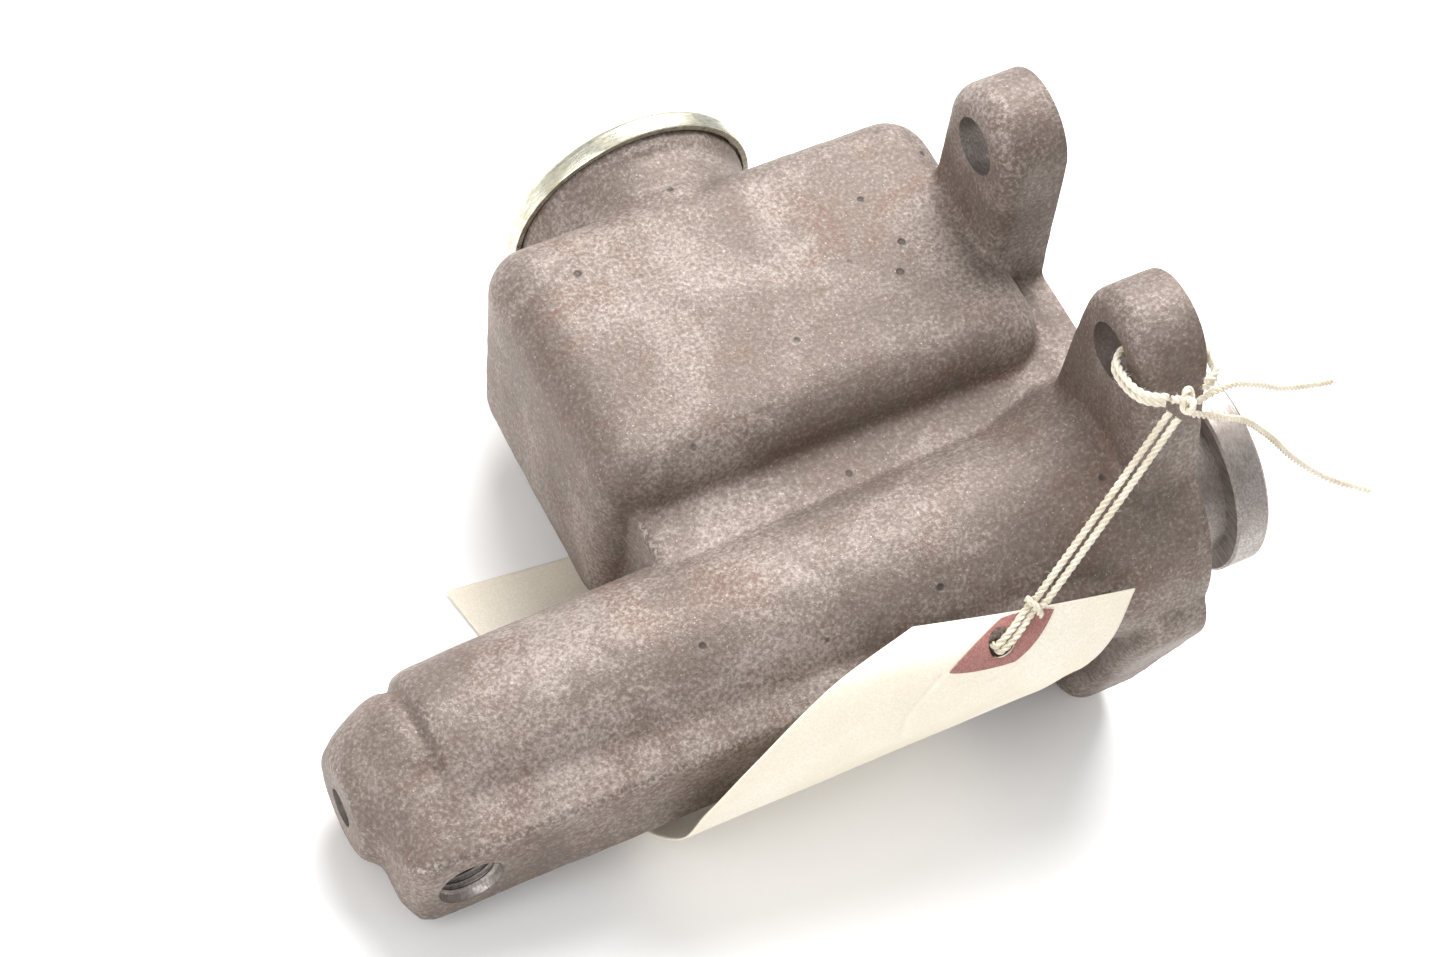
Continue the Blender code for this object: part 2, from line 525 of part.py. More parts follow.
def build_piston_group(alloy, rubber, steel, spring_steel):
    tail = PISTON_REAR_X - PISTON_TAIL_LAND
    cup_front = tail - SECONDARY_CUP_WIDTH
    guide_front = cup_front - PISTON_LAND
    waist = PISTON_WAIST_RADIUS
    neck = 0.72 * SLIDING_RADIUS
    piston = turned([
        (PISTON_FRONT_X, 0.0), (PISTON_FRONT_X, SLIDING_RADIUS - 0.8 * MM),
        (PISTON_FRONT_X + 0.8 * MM, SLIDING_RADIUS), (PISTON_FRONT_X + PISTON_LAND, SLIDING_RADIUS),
        (PISTON_FRONT_X + PISTON_LAND + 2.0 * MM, waist), (guide_front - 2.0 * MM, waist),
        (guide_front, SLIDING_RADIUS), (cup_front, SLIDING_RADIUS), (cup_front, neck),
        (tail, neck), (tail, SLIDING_RADIUS - 1.0 * MM), (PISTON_REAR_X, SLIDING_RADIUS - 1.0 * MM),
        (PISTON_REAR_X, SOCKET_RADIUS),
        (PISTON_REAR_X - SOCKET_DEPTH + 0.6 * SOCKET_RADIUS, SOCKET_RADIUS),
        (PISTON_REAR_X - SOCKET_DEPTH + 0.2 * SOCKET_RADIUS, 0.6 * SOCKET_RADIUS),
        (PISTON_REAR_X - SOCKET_DEPTH, 0.0)])
    add_object("piston", piston, alloy, (PISTON_FRONT_X, 0.0, 0.0))

    lip = 0.5 * (neck + SLIDING_RADIUS)
    second = turned([
        (cup_front + FIT_GAP, neck + FIT_GAP), (cup_front + FIT_GAP, SLIDING_RADIUS - 0.3 * MM),
        (cup_front + FIT_GAP + 1.5 * MM, SLIDING_RADIUS), (tail - FIT_GAP - 1.0 * MM, SLIDING_RADIUS - 1.0 * MM),
        (tail - FIT_GAP, SLIDING_RADIUS - 1.2 * MM), (tail - FIT_GAP, lip), (tail - FIT_GAP, neck + FIT_GAP)])
    add_object("secondary_cup", second, rubber, (cup_front, 0.0, 0.0))

    front = CUP_WASHER_REAR_X - CUP_WASHER_THICKNESS
    washer = turned([(front, 4.0 * MM), (front, SLIDING_RADIUS - 1.0 * MM),
                     (CUP_WASHER_REAR_X, SLIDING_RADIUS - 1.0 * MM), (CUP_WASHER_REAR_X, 4.0 * MM)])
    add_object("cup_washer", washer, steel, (front, 0.0, 0.0))

    inside = SLIDING_RADIUS - 2.2 * MM
    cup = turned([
        (CUP_REAR_X, 0.0), (CUP_REAR_X, SLIDING_RADIUS - 0.6 * MM),
        (CUP_REAR_X - 1.5 * MM, SLIDING_RADIUS - 0.3 * MM),
        (CUP_FRONT_X + 1.0 * MM, SLIDING_RADIUS), (CUP_FRONT_X, SLIDING_RADIUS - 0.6 * MM),
        (CUP_REAR_X - PRIMARY_CUP_WALL, inside), (CUP_REAR_X - PRIMARY_CUP_WALL, 0.0)])
    add_object("primary_cup", cup, rubber, (CUP_REAR_X, 0.0, 0.0))

    spring_seat = SPRING_COIL_RADIUS + SPRING_WIRE_RADIUS
    nub = SPRING_COIL_RADIUS - SPRING_WIRE_RADIUS - FIT_GAP
    plate_front = RETAINER_REAR_X - 1.0 * MM
    retainer = turned([
        (RETAINER_REAR_X, 0.0), (RETAINER_REAR_X, spring_seat), (plate_front, spring_seat),
        (plate_front, nub), (RETAINER_FRONT_X, nub - 0.8 * MM), (RETAINER_FRONT_X, 0.0)], segments=32)
    add_object("spring_retainer", retainer, steel, (RETAINER_REAR_X, 0.0, 0.0))

    valve_rear = VALVE_FRONT_X + VALVE_FLANGE_THICKNESS
    spring_curve("return_spring", valve_rear + FIT_GAP, plate_front - FIT_GAP, spring_steel)


def spring_curve(name, front_x, rear_x, material):
    """Compression spring with closed end coils, as a curve with a round bevel."""
    curve = bpy.data.curves.new(name, "CURVE")
    curve.dimensions = "3D"
    curve.bevel_depth = SPRING_WIRE_RADIUS
    curve.bevel_resolution = 1
    curve.use_fill_caps = True
    per_turn = 16
    total = SPRING_TURNS * per_turn
    end_pitch = 2.0 * SPRING_WIRE_RADIUS + 0.25 * MM
    low = front_x + SPRING_WIRE_RADIUS
    high = rear_x - SPRING_WIRE_RADIUS
    free_pitch = (high - low - 2.0 * end_pitch) / (SPRING_TURNS - 2)
    spline = curve.splines.new("POLY")
    spline.points.add(total)
    for k in range(total + 1):
        turn = k / per_turn
        closed = min(turn, 1.0) + max(turn - (SPRING_TURNS - 1), 0.0)
        x = low + end_pitch * closed + free_pitch * (turn - closed)
        angle = 2.0 * math.pi * turn
        y = SPRING_COIL_RADIUS * math.cos(angle)
        z = SPRING_COIL_RADIUS * math.sin(angle)
        spline.points[k].co = (x - front_x, y, z, 1.0)
    curve.materials.append(material)
    obj = bpy.data.objects.new(name, curve)
    bpy.context.collection.objects.link(obj)
    obj.parent = LYING_POSE
    obj.location = (front_x, 0.0, 0.0)


def build_check_valve(brass, rubber):
    seat_rear = SEAT_FRONT_X + SEAT_THICKNESS
    seat = turned([(SEAT_FRONT_X, SEAT_HOLE_RADIUS), (SEAT_FRONT_X, SLIDING_RADIUS), (seat_rear, SLIDING_RADIUS),
                   (seat_rear, SEAT_HOLE_RADIUS + 0.8 * MM)])
    add_object("check_valve_seat", seat, rubber, (SEAT_FRONT_X, 0.0, 0.0))

    flange_rear = VALVE_FRONT_X + VALVE_FLANGE_THICKNESS
    cage_rear = VALVE_FRONT_X + VALVE_BODY_LENGTH
    inner = VALVE_BODY_RADIUS - VALVE_WALL
    vent = 0.45 * VALVE_BODY_RADIUS
    cage = turned([
        (VALVE_FRONT_X, inner), (VALVE_FRONT_X, SLIDING_RADIUS - 1.6 * MM),
        (flange_rear, SLIDING_RADIUS - 1.6 * MM), (flange_rear, VALVE_BODY_RADIUS),
        (cage_rear - 1.0 * MM, VALVE_BODY_RADIUS), (cage_rear, VALVE_BODY_RADIUS - 1.0 * MM),
        (cage_rear, vent), (cage_rear - VALVE_WALL, vent), (cage_rear - VALVE_WALL, inner)], segments=32)
    add_object("check_valve_body", cage, brass, (VALVE_FRONT_X, 0.0, 0.0))

    cup_rear = cage_rear - VALVE_WALL - FIT_GAP
    cup_front = VALVE_FRONT_X + 0.5 * MM
    cup = turned([(cup_rear, 0.0), (cup_rear, inner - FIT_GAP), (cup_rear - 2.0 * MM, inner - FIT_GAP),
                  (cup_front, inner - 1.5 * MM), (cup_front, inner - 2.8 * MM),
                  (cup_rear - 2.0 * MM, inner - 3.2 * MM), (cup_rear - 2.0 * MM, 0.0)], segments=32)
    add_object("check_valve_cup", cup, rubber, (VALVE_FRONT_X, 0.0, 0.0))


def build_mouth(steel, spring_steel):
    plate = turned([(STOP_PLATE_FRONT_X, STOP_PLATE_HOLE_RADIUS), (STOP_PLATE_FRONT_X, SLIDING_RADIUS),
                    (STOP_PLATE_REAR_X, SLIDING_RADIUS), (STOP_PLATE_REAR_X, STOP_PLATE_HOLE_RADIUS)])
    add_object("stop_plate", plate, steel, (STOP_PLATE_FRONT_X, 0.0, 0.0))

    outer = BORE_RADIUS + SNAP_GROOVE_DEPTH - FIT_GAP
    inner = outer - SNAP_RING_WIDTH
    ring = turned([(SNAP_RING_FRONT_X, inner), (SNAP_RING_FRONT_X, outer),
                   (SNAP_RING_REAR_X, outer), (SNAP_RING_REAR_X, inner)])
    snap = add_object("snap_ring", ring, spring_steel, (SNAP_RING_FRONT_X, 0.0, 0.0))
    gap_half = 3.0 * MM
    gap = box_points((SNAP_RING_FRONT_X - 1.0 * MM, 0.0, -gap_half),
                     (SNAP_RING_REAR_X + 1.0 * MM, 1.5 * outer, gap_half))
    combine(snap, hull(gap), "DIFFERENCE", "cut_ring_gap")


# Tag and string -----------------------------------------------------------------------

def smooth_route(points, spacing):
    """Read evenly spaced points from a smooth curve through the route's own points."""
    points = [Vector(p) * MM for p in points]
    ends = [2.0 * points[0] - points[1]] + points + [2.0 * points[-1] - points[-2]]
    fine = []
    for k in range(1, len(ends) - 2):
        p0, p1, p2, p3 = ends[k - 1:k + 3]
        for step in range(12):
            t = step / 12.0
            fine.append(0.5 * (2.0 * p1 + (p2 - p0) * t + (2.0 * p0 - 5.0 * p1 + 4.0 * p2 - p3) * t ** 2
                               + (3.0 * p1 - p0 - 3.0 * p2 + p3) * t ** 3))
    fine.append(points[-1])
    travelled = [0.0]
    for one, two in zip(fine, fine[1:]):
        travelled.append(travelled[-1] + (two - one).length)
    count = max(2, round(travelled[-1] / spacing))
    result = []
    at = 0
    for k in range(count + 1):
        wanted = travelled[-1] * k / count
        while at < len(fine) - 2 and travelled[at + 1] < wanted:
            at += 1
        share = (wanted - travelled[at]) / (travelled[at + 1] - travelled[at])
        result.append(fine[at].lerp(fine[at + 1], min(max(share, 0.0), 1.0)))
    return result


def string_piece(name, route, material):
    """A stretch of string: a round tube along a route given in millimetres."""
    curve = bpy.data.curves.new(name, "CURVE")
    curve.dimensions = "3D"
    curve.bevel_depth = STRING_RADIUS
    curve.bevel_resolution = 2
    curve.use_fill_caps = True
    points = smooth_route(route, 5.0 * STRING_RADIUS)
    spline = curve.splines.new("POLY")
    spline.points.add(len(points) - 1)
    for spot, point in zip(spline.points, points):
        spot.co = (*point, 1.0)
    curve.materials.append(material)
    obj = bpy.data.objects.new(name, curve)
    bpy.context.collection.objects.link(obj)
    obj.parent = LYING_POSE


def surface_z(x, height):
    """Level, in the bore's frame, that is the given height above the surface the part lies on."""
    rise = (x - SHOULDER_X) * math.tan(LYING_TILT)
    return -BARREL_FRONT_RADIUS - rise + height / math.cos(LYING_TILT)


def tag_rows():
    """Left and right edge of the tag, row by row from its string end to its far end.

    The string end leans on the keel side of the barrel; the rest curls under the barrel
    and lies flat on the surface below it.
    """
    free = [
        ((107.5, -18.4, 19.5), (153.7, -25.2, 12.0)),
        ((88.0, -23.5, 20.0), (148.6, -28.8, 3.0)),
        ((70.8, -28.9, 14.0), (143.8, -29.6, -2.5)),
        ((60.6, -30.4, 4.0), (140.5, -28.0, -8.0)),
        ((57.0, -27.0, -11.5), (137.5, -21.5, -25.0)),
        ((54.0, -14.5, -24.5), (133.5, -9.0, -42.0)),
    ]
    rows = [(Vector(left) * MM, Vector(right) * MM) for left, right in free]
    for left_x, left_y, right_x, right_y, height in (
            (51.0, 2.0, 128.0, 6.0, 1.6), (47.5, 22.0, 124.0, 26.0, 0.8), (42.2, 47.5, 118.5, 51.5, 0.8)):
        left = Vector((left_x * MM, left_y * MM, surface_z(left_x * MM, height * MM)))
        right = Vector((right_x * MM, right_y * MM, surface_z(right_x * MM, height * MM)))
        rows.append((left, right))
    return rows


def blend_rows(rows, at):
    """Left and right edge at any place between the rows, on smooth curves through them."""
    k = min(int(at), len(rows) - 2)
    t = at - k
    edges = []
    for side in (0, 1):
        p1, p2 = rows[k][side], rows[k + 1][side]
        p0 = rows[k - 1][side] if k > 0 else 2.0 * p1 - p2
        p3 = rows[k + 2][side] if k + 2 < len(rows) else 2.0 * p2 - p1
        edges.append(0.5 * (2.0 * p1 + (p2 - p0) * t + (2.0 * p0 - 5.0 * p1 + 4.0 * p2 - p3) * t ** 2
                            + (3.0 * p1 - p0 - 3.0 * p2 + p3) * t ** 3))
    return edges


def tag_point(across, along):
    """A point of the tag's middle surface; its string end bulges a little outwards."""
    rows = tag_rows()
    left, right = blend_rows(rows, along)
    bulge = TAG_BULGE * math.sin(math.pi * across) * math.exp(-((along - 0.8) / 0.9) ** 2)
    return left.lerp(right, across) + bulge * Vector((0.0, -0.75, 0.66))


def sheet_solid(name, point_at, columns, rows, thickness, material):
    """A thin closed sheet of even thickness on both sides of a surface."""
    bm = bmesh.new()
    grid = [[bm.verts.new(point_at(i / columns, j / rows)) for i in range(columns + 1)] for j in range(rows + 1)]
    for j in range(rows):
        for i in range(columns):
            bm.faces.new((grid[j][i], grid[j][i + 1], grid[j + 1][i + 1], grid[j + 1][i]))
    obj = add_object(name, bm, material, smooth_angle=30.0)
    solid = obj.modifiers.new("thickness", "SOLIDIFY")
    solid.thickness = thickness
    solid.offset = 0.0
    return obj


def punch_hole(sheet, name):
    """Punch the string's hole through the tag or its patch."""
    bm = bmesh.new()
    bmesh.ops.create_cone(bm, cap_ends=True, segments=16, radius1=TAG_HOLE_RADIUS, radius2=TAG_HOLE_RADIUS,
                          depth=2.0 * TAG_HOLE_RADIUS)
    spin = tag_normal(TAG_HOLE_ACROSS, TAG_HOLE_ALONG).to_track_quat("Z", "Y").to_matrix().to_4x4()
    middle = Matrix.Translation(tag_point(TAG_HOLE_ACROSS, TAG_HOLE_ALONG))
    bmesh.ops.transform(bm, matrix=middle @ spin, verts=bm.verts)
    combine(sheet, bm, "DIFFERENCE", name)


def build_tag(paper, patch_paper):
    last = len(tag_rows()) - 1
    tag = sheet_solid("tag", lambda across, down: tag_point(across, last * down), 8, 4 * last,
                      TAG_THICKNESS, paper)
    punch_hole(tag, "punch_tag")

    left, right = tag_rows()[1]
    half = PATCH_RADIUS / (right - left).length
    margin = 0.04
    lift = 0.5 * TAG_THICKNESS + 0.5 * PATCH_THICKNESS + FIT_GAP

    def patch_point(across, down):
        u = TAG_HOLE_ACROSS + half * (2.0 * across - 1.0)
        v = margin + (2.0 * TAG_HOLE_ALONG - margin) * down
        return tag_point(u, v) + lift * tag_normal(u, v)

    patch = sheet_solid("tag_patch", patch_point, 4, 4, PATCH_THICKNESS, patch_paper)
    punch_hole(patch, "punch_patch")


def tag_normal(across, along):
    """Direction out of the tag's outer side."""
    step = 0.02
    over = tag_point(across + step, along) - tag_point(across - step, along)
    down = tag_point(across, along + step) - tag_point(across, max(along - step, 0.0))
    return down.cross(over).normalized()


def build_string(cotton):
    string_piece("string_loop_a", [
        (161.6, -9.4, 51.9), (159.8, -8.6, 51.9), (157.6, -6.8, 51.9), (156.5, -3.6, 51.8), (156.6, 0.6, 51.6),
        (158.4, 3.0, 51.4), (161.5, 3.9, 51.2), (165.0, 4.2, 51.1), (169.0, 3.9, 51.2), (172.0, 2.8, 51.4),
        (173.6, 0.2, 51.6), (173.9, -4.0, 51.9), (173.2, -7.4, 52.4), (171.2, -9.3, 52.8), (169.2, -9.8, 53.0)], cotton)
    string_piece("string_loop_b", [
        (161.3, -9.5, 50.0), (159.6, -8.7, 50.0), (157.5, -6.8, 50.0), (156.4, -3.6, 49.9), (156.5, 0.6, 49.7),
        (158.4, 3.0, 49.5), (161.5, 3.9, 49.3), (165.0, 4.2, 49.2), (169.0, 3.9, 49.3), (172.0, 2.8, 49.5),
        (173.6, 0.2, 49.7), (173.9, -4.0, 50.0), (173.3, -7.4, 50.4), (171.3, -9.4, 50.8), (169.3, -9.9, 50.9)], cotton)
    string_piece("string_leg_a", [(163.1, -12.1, 47.5), (153.0, -16.2, 37.8), (143.1, -20.1, 28.4),
                                  (133.4, -23.9, 19.4)], cotton)
    string_piece("string_leg_b", [(162.1, -10.5, 47.9), (152.0, -14.6, 38.2), (142.1, -18.5, 28.8),
                                  (132.4, -22.3, 19.8)], cotton)
    string_piece("string_end_a", [(168.0, -10.6, 47.9), (173.0, -9.6, 47.2), (178.9, -8.4, 44.3), (185.8, -7.7, 39.0),
                                  (192.6, -7.1, 33.0), (201.0, -5.6, 26.6), (209.8, -3.7, 20.0)], cotton)
    string_piece("string_end_b", [(166.3, -12.0, 46.9), (170.6, -12.1, 43.8), (176.4, -11.4, 38.4),
                                  (183.1, -10.3, 31.6), (191.8, -9.8, 20.0), (200.1, -10.6, 8.0),
                                  (210.5, -12.6, -3.6), (221.5, -14.4, -12.6)], cotton)

    steps = 10
    knot = turned([(-KNOT_RADIUS * math.cos(math.pi * k / steps), KNOT_RADIUS * math.sin(math.pi * k / steps))
                   for k in range(steps + 1)], segments=16, centre=KNOT_CENTRE)
    add_object("string_knot", knot, cotton, KNOT_CENTRE)

    middle = tag_point(TAG_HOLE_ACROSS, TAG_HOLE_ALONG)
    outward = tag_normal(TAG_HOLE_ACROSS, TAG_HOLE_ALONG)
    start = middle + 3.6 * STRING_RADIUS * outward
    top = tag_point(TAG_HOLE_ACROSS, 0.0) + 3.2 * STRING_RADIUS * tag_normal(TAG_HOLE_ACROSS, 0.0)
    way = (top - start).normalized()
    points = disc_points((0.0, 0.0, 0.0), 2.0 * STRING_RADIUS, segments=10)
    spin = way.to_track_quat("X", "Z")
    bm = hull([spin @ p + start for p in points] + [spin @ p + top for p in points])
    add_object("string_hitch", bm, cotton, start)


# Pose ---------------------------------------------------------------------------------

def lie_down():
    """Turn the bore's frame so that the nose and the lower ears touch z = 0."""
    LYING_POSE.rotation_euler = (0.0, -LYING_TILT, 0.0)
    bpy.context.view_layer.update()
    depsgraph = bpy.context.evaluated_depsgraph_get()
    low = Vector((1e9, 1e9, 1e9))
    high = -low
    for obj in bpy.data.objects:
        if obj.type != "MESH" or obj.hide_render or obj.name.startswith(("tag", "string_")):
            continue
        shape = obj.evaluated_get(depsgraph)
        mesh = shape.to_mesh()
        for vertex in mesh.vertices:
            point = obj.matrix_world @ vertex.co
            low = Vector(map(min, low, point))
            high = Vector(map(max, high, point))
        shape.to_mesh_clear()
    LYING_POSE.location = (-0.5 * (low.x + high.x), -0.5 * (low.y + high.y), -low.z)
    bpy.context.view_layer.update()


clear_scene()
LYING_POSE = bpy.data.objects.new("lying_pose", None)
bpy.context.collection.objects.link(LYING_POSE)

cast_iron = make_material("cast iron", (0.24, 0.21, 0.20), 0.55, 0.75)
zinc_steel = make_material("zinc plated steel", (0.62, 0.60, 0.50), 0.32, 1.0)
bright_steel = make_material("steel", (0.55, 0.55, 0.56), 0.3, 1.0)
blue_spring = make_material("spring steel", (0.30, 0.31, 0.33), 0.35, 1.0)
brake_rubber = make_material("brake rubber", (0.03, 0.03, 0.032), 0.6, 0.0)
valve_brass = make_material("brass", (0.70, 0.52, 0.24), 0.3, 1.0)
piston_alloy = make_material("piston alloy", (0.70, 0.70, 0.72), 0.3, 1.0)
gasket_board = make_material("gasket board", (0.33, 0.20, 0.12), 0.8, 0.0)
manila = make_material("manila card", (0.80, 0.69, 0.50), 0.8, 0.0)
rose_paper = make_material("rose patch", (0.55, 0.28, 0.26), 0.8, 0.0)
cotton_string = make_material("cotton string", (0.80, 0.73, 0.60), 0.9, 0.0)

build_casting(cast_iron)
build_cover(zinc_steel, gasket_board, bright_steel)
build_piston_group(piston_alloy, brake_rubber, bright_steel, blue_spring)
build_check_valve(valve_brass, brake_rubber)
build_mouth(bright_steel, blue_spring)
build_tag(manila, rose_paper)
build_string(cotton_string)
lie_down()
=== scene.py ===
import json
import math

import bmesh
import bpy
import numpy as np
from mathutils import Matrix, Vector, noise
from mathutils.bvhtree import BVHTree


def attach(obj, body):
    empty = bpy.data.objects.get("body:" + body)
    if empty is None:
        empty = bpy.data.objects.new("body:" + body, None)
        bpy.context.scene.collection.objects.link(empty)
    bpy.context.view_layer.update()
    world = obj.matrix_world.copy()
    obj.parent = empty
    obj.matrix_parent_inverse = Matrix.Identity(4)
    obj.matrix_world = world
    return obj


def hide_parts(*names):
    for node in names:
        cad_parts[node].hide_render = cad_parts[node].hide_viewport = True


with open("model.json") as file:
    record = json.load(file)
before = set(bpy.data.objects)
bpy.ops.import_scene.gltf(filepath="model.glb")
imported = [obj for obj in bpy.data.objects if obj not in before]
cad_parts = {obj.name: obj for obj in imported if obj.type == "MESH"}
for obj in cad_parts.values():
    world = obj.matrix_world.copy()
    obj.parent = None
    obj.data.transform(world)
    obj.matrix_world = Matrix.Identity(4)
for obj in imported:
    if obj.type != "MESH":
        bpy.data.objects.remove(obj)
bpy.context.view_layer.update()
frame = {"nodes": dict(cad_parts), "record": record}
mm = 0.001

# the bore's own frame: its origin is the middle of the nose face, x runs back to the flange, y to the cover
mounts = {m["name"]: m for m in frame["record"]["mounts"]}
noseMount = mounts["nose_face"]
boreWay = -Vector(noseMount["axis"])
turned = Matrix.Rotation(-math.atan2(boreWay.z, boreWay.x), 4, "Y")
noseMountOffset = Vector((0.0, 7.0, 0.0)) * mm  # where that mount sits on the nose face
lying = Matrix.Translation(Vector(noseMount["pos_m"]) - turned @ noseMountOffset) @ turned

# camera, floor and lights

camera = dict(
    spot=(-90.7, -247.3, 535.6),      # all in the bore's frame, mm
    right=(0.89173, -0.44612, 0.07615),
    up=(0.34297, 0.77592, 0.52945),
    lens=79.83,
)
studio = dict(
    floorSize=6.0, floorColor=(0.93, 0.925, 0.92), sky=(1.0, 1.0, 1.0), skyStrength=0.62,
    keySpot=(0.35, 0.75, 1.3), keySize=1.3, keyPower=42.0,
    fillSpot=(-1.1, -0.4, 0.9), fillSize=1.0, fillPower=10.0,
)


def makeCamera():
    data = bpy.data.cameras.new("main_camera")
    data.sensor_width = 36.0
    data.lens = camera["lens"]
    data.clip_start = 0.05
    right = Vector(camera["right"]).normalized()
    up = Vector(camera["up"]).normalized()
    back = right.cross(up)
    spin = Matrix((right, up, back)).transposed().to_4x4()
    eye = bpy.data.objects.new("main_camera", data)
    bpy.context.scene.collection.objects.link(eye)
    eye.matrix_world = lying @ Matrix.Translation(Vector(camera["spot"]) * mm) @ spin
    bpy.context.scene.camera = eye


def aimedLight(name, spot, size, power):
    data = bpy.data.lights.new(name, "AREA")
    data.shape = "DISK"
    data.size = size
    data.energy = power
    lamp = bpy.data.objects.new(name, data)
    bpy.context.scene.collection.objects.link(lamp)
    lamp.location = spot
    lamp.rotation_euler = (-Vector(spot)).to_track_quat("-Z", "Y").to_euler()


def makeStudio():
    half = studio["floorSize"] / 2
    mesh = bpy.data.meshes.new("floor")
    corners = [(-half, -half, 0), (half, -half, 0), (half, half, 0), (-half, half, 0)]
    mesh.from_pydata(corners, [], [(0, 1, 2, 3)])
    floor = bpy.data.objects.new("floor", mesh)
    bpy.context.scene.collection.objects.link(floor)
    paint = bpy.data.materials.new("floor")
    paint.use_nodes = True
    shader = paint.node_tree.nodes["Principled BSDF"]
    shader.inputs["Base Color"].default_value = (*studio["floorColor"], 1)
    shader.inputs["Roughness"].default_value = 0.7
    mesh.materials.append(paint)
    world = bpy.data.worlds.new("studio")
    world.use_nodes = True
    sky = world.node_tree.nodes["Background"]
    sky.inputs["Color"].default_value = (*studio["sky"], 1)
    sky.inputs["Strength"].default_value = studio["skyStrength"]
    bpy.context.scene.world = world
    aimedLight("key_light", studio["keySpot"], studio["keySize"], studio["keyPower"])
    aimedLight("fill_light", studio["fillSpot"], studio["fillSize"], studio["fillPower"])
    bpy.context.scene.view_settings.view_transform = "Standard"


# helpers

def addPiece(name, mesh, material, body, smoothAngle=40, cadNodes=()):
    piece = bpy.data.objects.new(name, mesh)
    bpy.context.scene.collection.objects.link(piece)
    for paint in material if isinstance(material, (list, tuple)) else [material]:
        mesh.materials.append(paint)
    if smoothAngle:
        mesh.shade_smooth()
        mesh.set_sharp_from_angle(angle=math.radians(smoothAngle))
    piece.matrix_world = lying
    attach(piece, body)
    if cadNodes:
        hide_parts(*cadNodes)
    return piece


def meshOf(bm, name):
    mesh = bpy.data.meshes.new(name)
    bm.normal_update()
    bm.to_mesh(mesh)
    bm.free()
    return mesh


def addHull(bm, points):
    fresh = bmesh.new()
    for p in points:
        fresh.verts.new(Vector(p) * mm)
    done = bmesh.ops.convex_hull(fresh, input=fresh.verts)
    loose = {g for g in done["geom_interior"] + done["geom_unused"] if isinstance(g, bmesh.types.BMVert)}
    bmesh.ops.delete(fresh, geom=list(loose), context="VERTS")
    bmesh.ops.recalc_face_normals(fresh, faces=fresh.faces)
    mergeInto(bm, fresh)


def mergeInto(bm, fresh):
    mesh = meshOf(fresh, "part")
    bm.from_mesh(mesh)
    bpy.data.meshes.remove(mesh)


def addTurned(bm, outline, steps=96, way="X", centre=(0, 0, 0)):  # outline: (along, radius) in mm
    fresh = bmesh.new()
    rings = []
    for along, radius in outline:
        ring = []
        for k in range(steps if radius > 0 else 1):
            angle = 2 * math.pi * k / steps
            a, b = radius * math.cos(angle), radius * math.sin(angle)
            spot = {"X": (along, a, b), "Y": (b, along, a)}[way]
            ring.append(fresh.verts.new((Vector(spot) + Vector(centre)) * mm))
        rings.append(ring)
    loop = outline[0][1] > 0 and outline[-1][1] > 0  # a ring with a hole closes on itself
    pairs = list(zip(rings, rings[1:])) + ([(rings[-1], rings[0])] if loop else [])
    for one, two in pairs:
        for k in range(steps):
            n = (k + 1) % steps
            corners = [one[k % len(one)], one[n % len(one)], two[n % len(two)], two[k % len(two)]]
            corners = list(dict.fromkeys(corners))
            if len(corners) > 2:
                fresh.faces.new(corners)
    bmesh.ops.recalc_face_normals(fresh, faces=fresh.faces)
    mergeInto(bm, fresh)


def curveSpot(p0, p1, p2, p3, t):  # Catmull-Rom, between p1 and p2
    return 0.5 * (2 * p1 + (p2 - p0) * t + (2 * p0 - 5 * p1 + 4 * p2 - p3) * t ** 2
                  + (3 * p1 - p0 - 3 * p2 + p3) * t ** 3)


def ballPoints(centre, radius, squash=(1, 1, 1), count=10):
    points = []
    for i in range(count + 1):
        up = math.pi * (i / count - 0.5)
        for k in range(2 * count):
            turn = math.pi * k / count
            way = (math.cos(up) * math.cos(turn), math.cos(up) * math.sin(turn), math.sin(up))
            points.append([c + radius * s * w for c, s, w in zip(centre, squash, way)])
    return points


def discPoints(x, y, z, radius, count=40):
    turns = [2 * math.pi * k / count for k in range(count)]
    return [(x, y + radius * math.cos(turn), z + radius * math.sin(turn)) for turn in turns]


def boxPoints(low, high):
    return [(x, y, z) for x in (low[0], high[0]) for y in (low[1], high[1]) for z in (low[2], high[2])]


def evaluated(piece):
    bpy.context.view_layer.update()
    mesh = bpy.data.meshes.new_from_object(piece.evaluated_get(bpy.context.evaluated_depsgraph_get()))
    old = piece.data
    bpy.data.objects.remove(piece)
    bpy.data.meshes.remove(old)
    return mesh


def tempObject(mesh):
    piece = bpy.data.objects.new("temp", mesh)
    bpy.context.scene.collection.objects.link(piece)
    return piece


makeCamera()
makeStudio()
print("camera and studio done")

# shader groups

def newGroup(name, takes, gives):
    group = bpy.data.node_groups.new(name, "ShaderNodeTree")
    for word, value in takes:
        kind = "NodeSocketVector" if value is None else "NodeSocketFloat"
        socket = group.interface.new_socket(name=word, in_out="INPUT", socket_type=kind)
        if value is not None:
            socket.default_value = value
    for word, kind in gives:
        group.interface.new_socket(name=word, in_out="OUTPUT", socket_type="NodeSocket" + kind)
    return group, group.nodes.new("NodeGroupInput"), group.nodes.new("NodeGroupOutput")


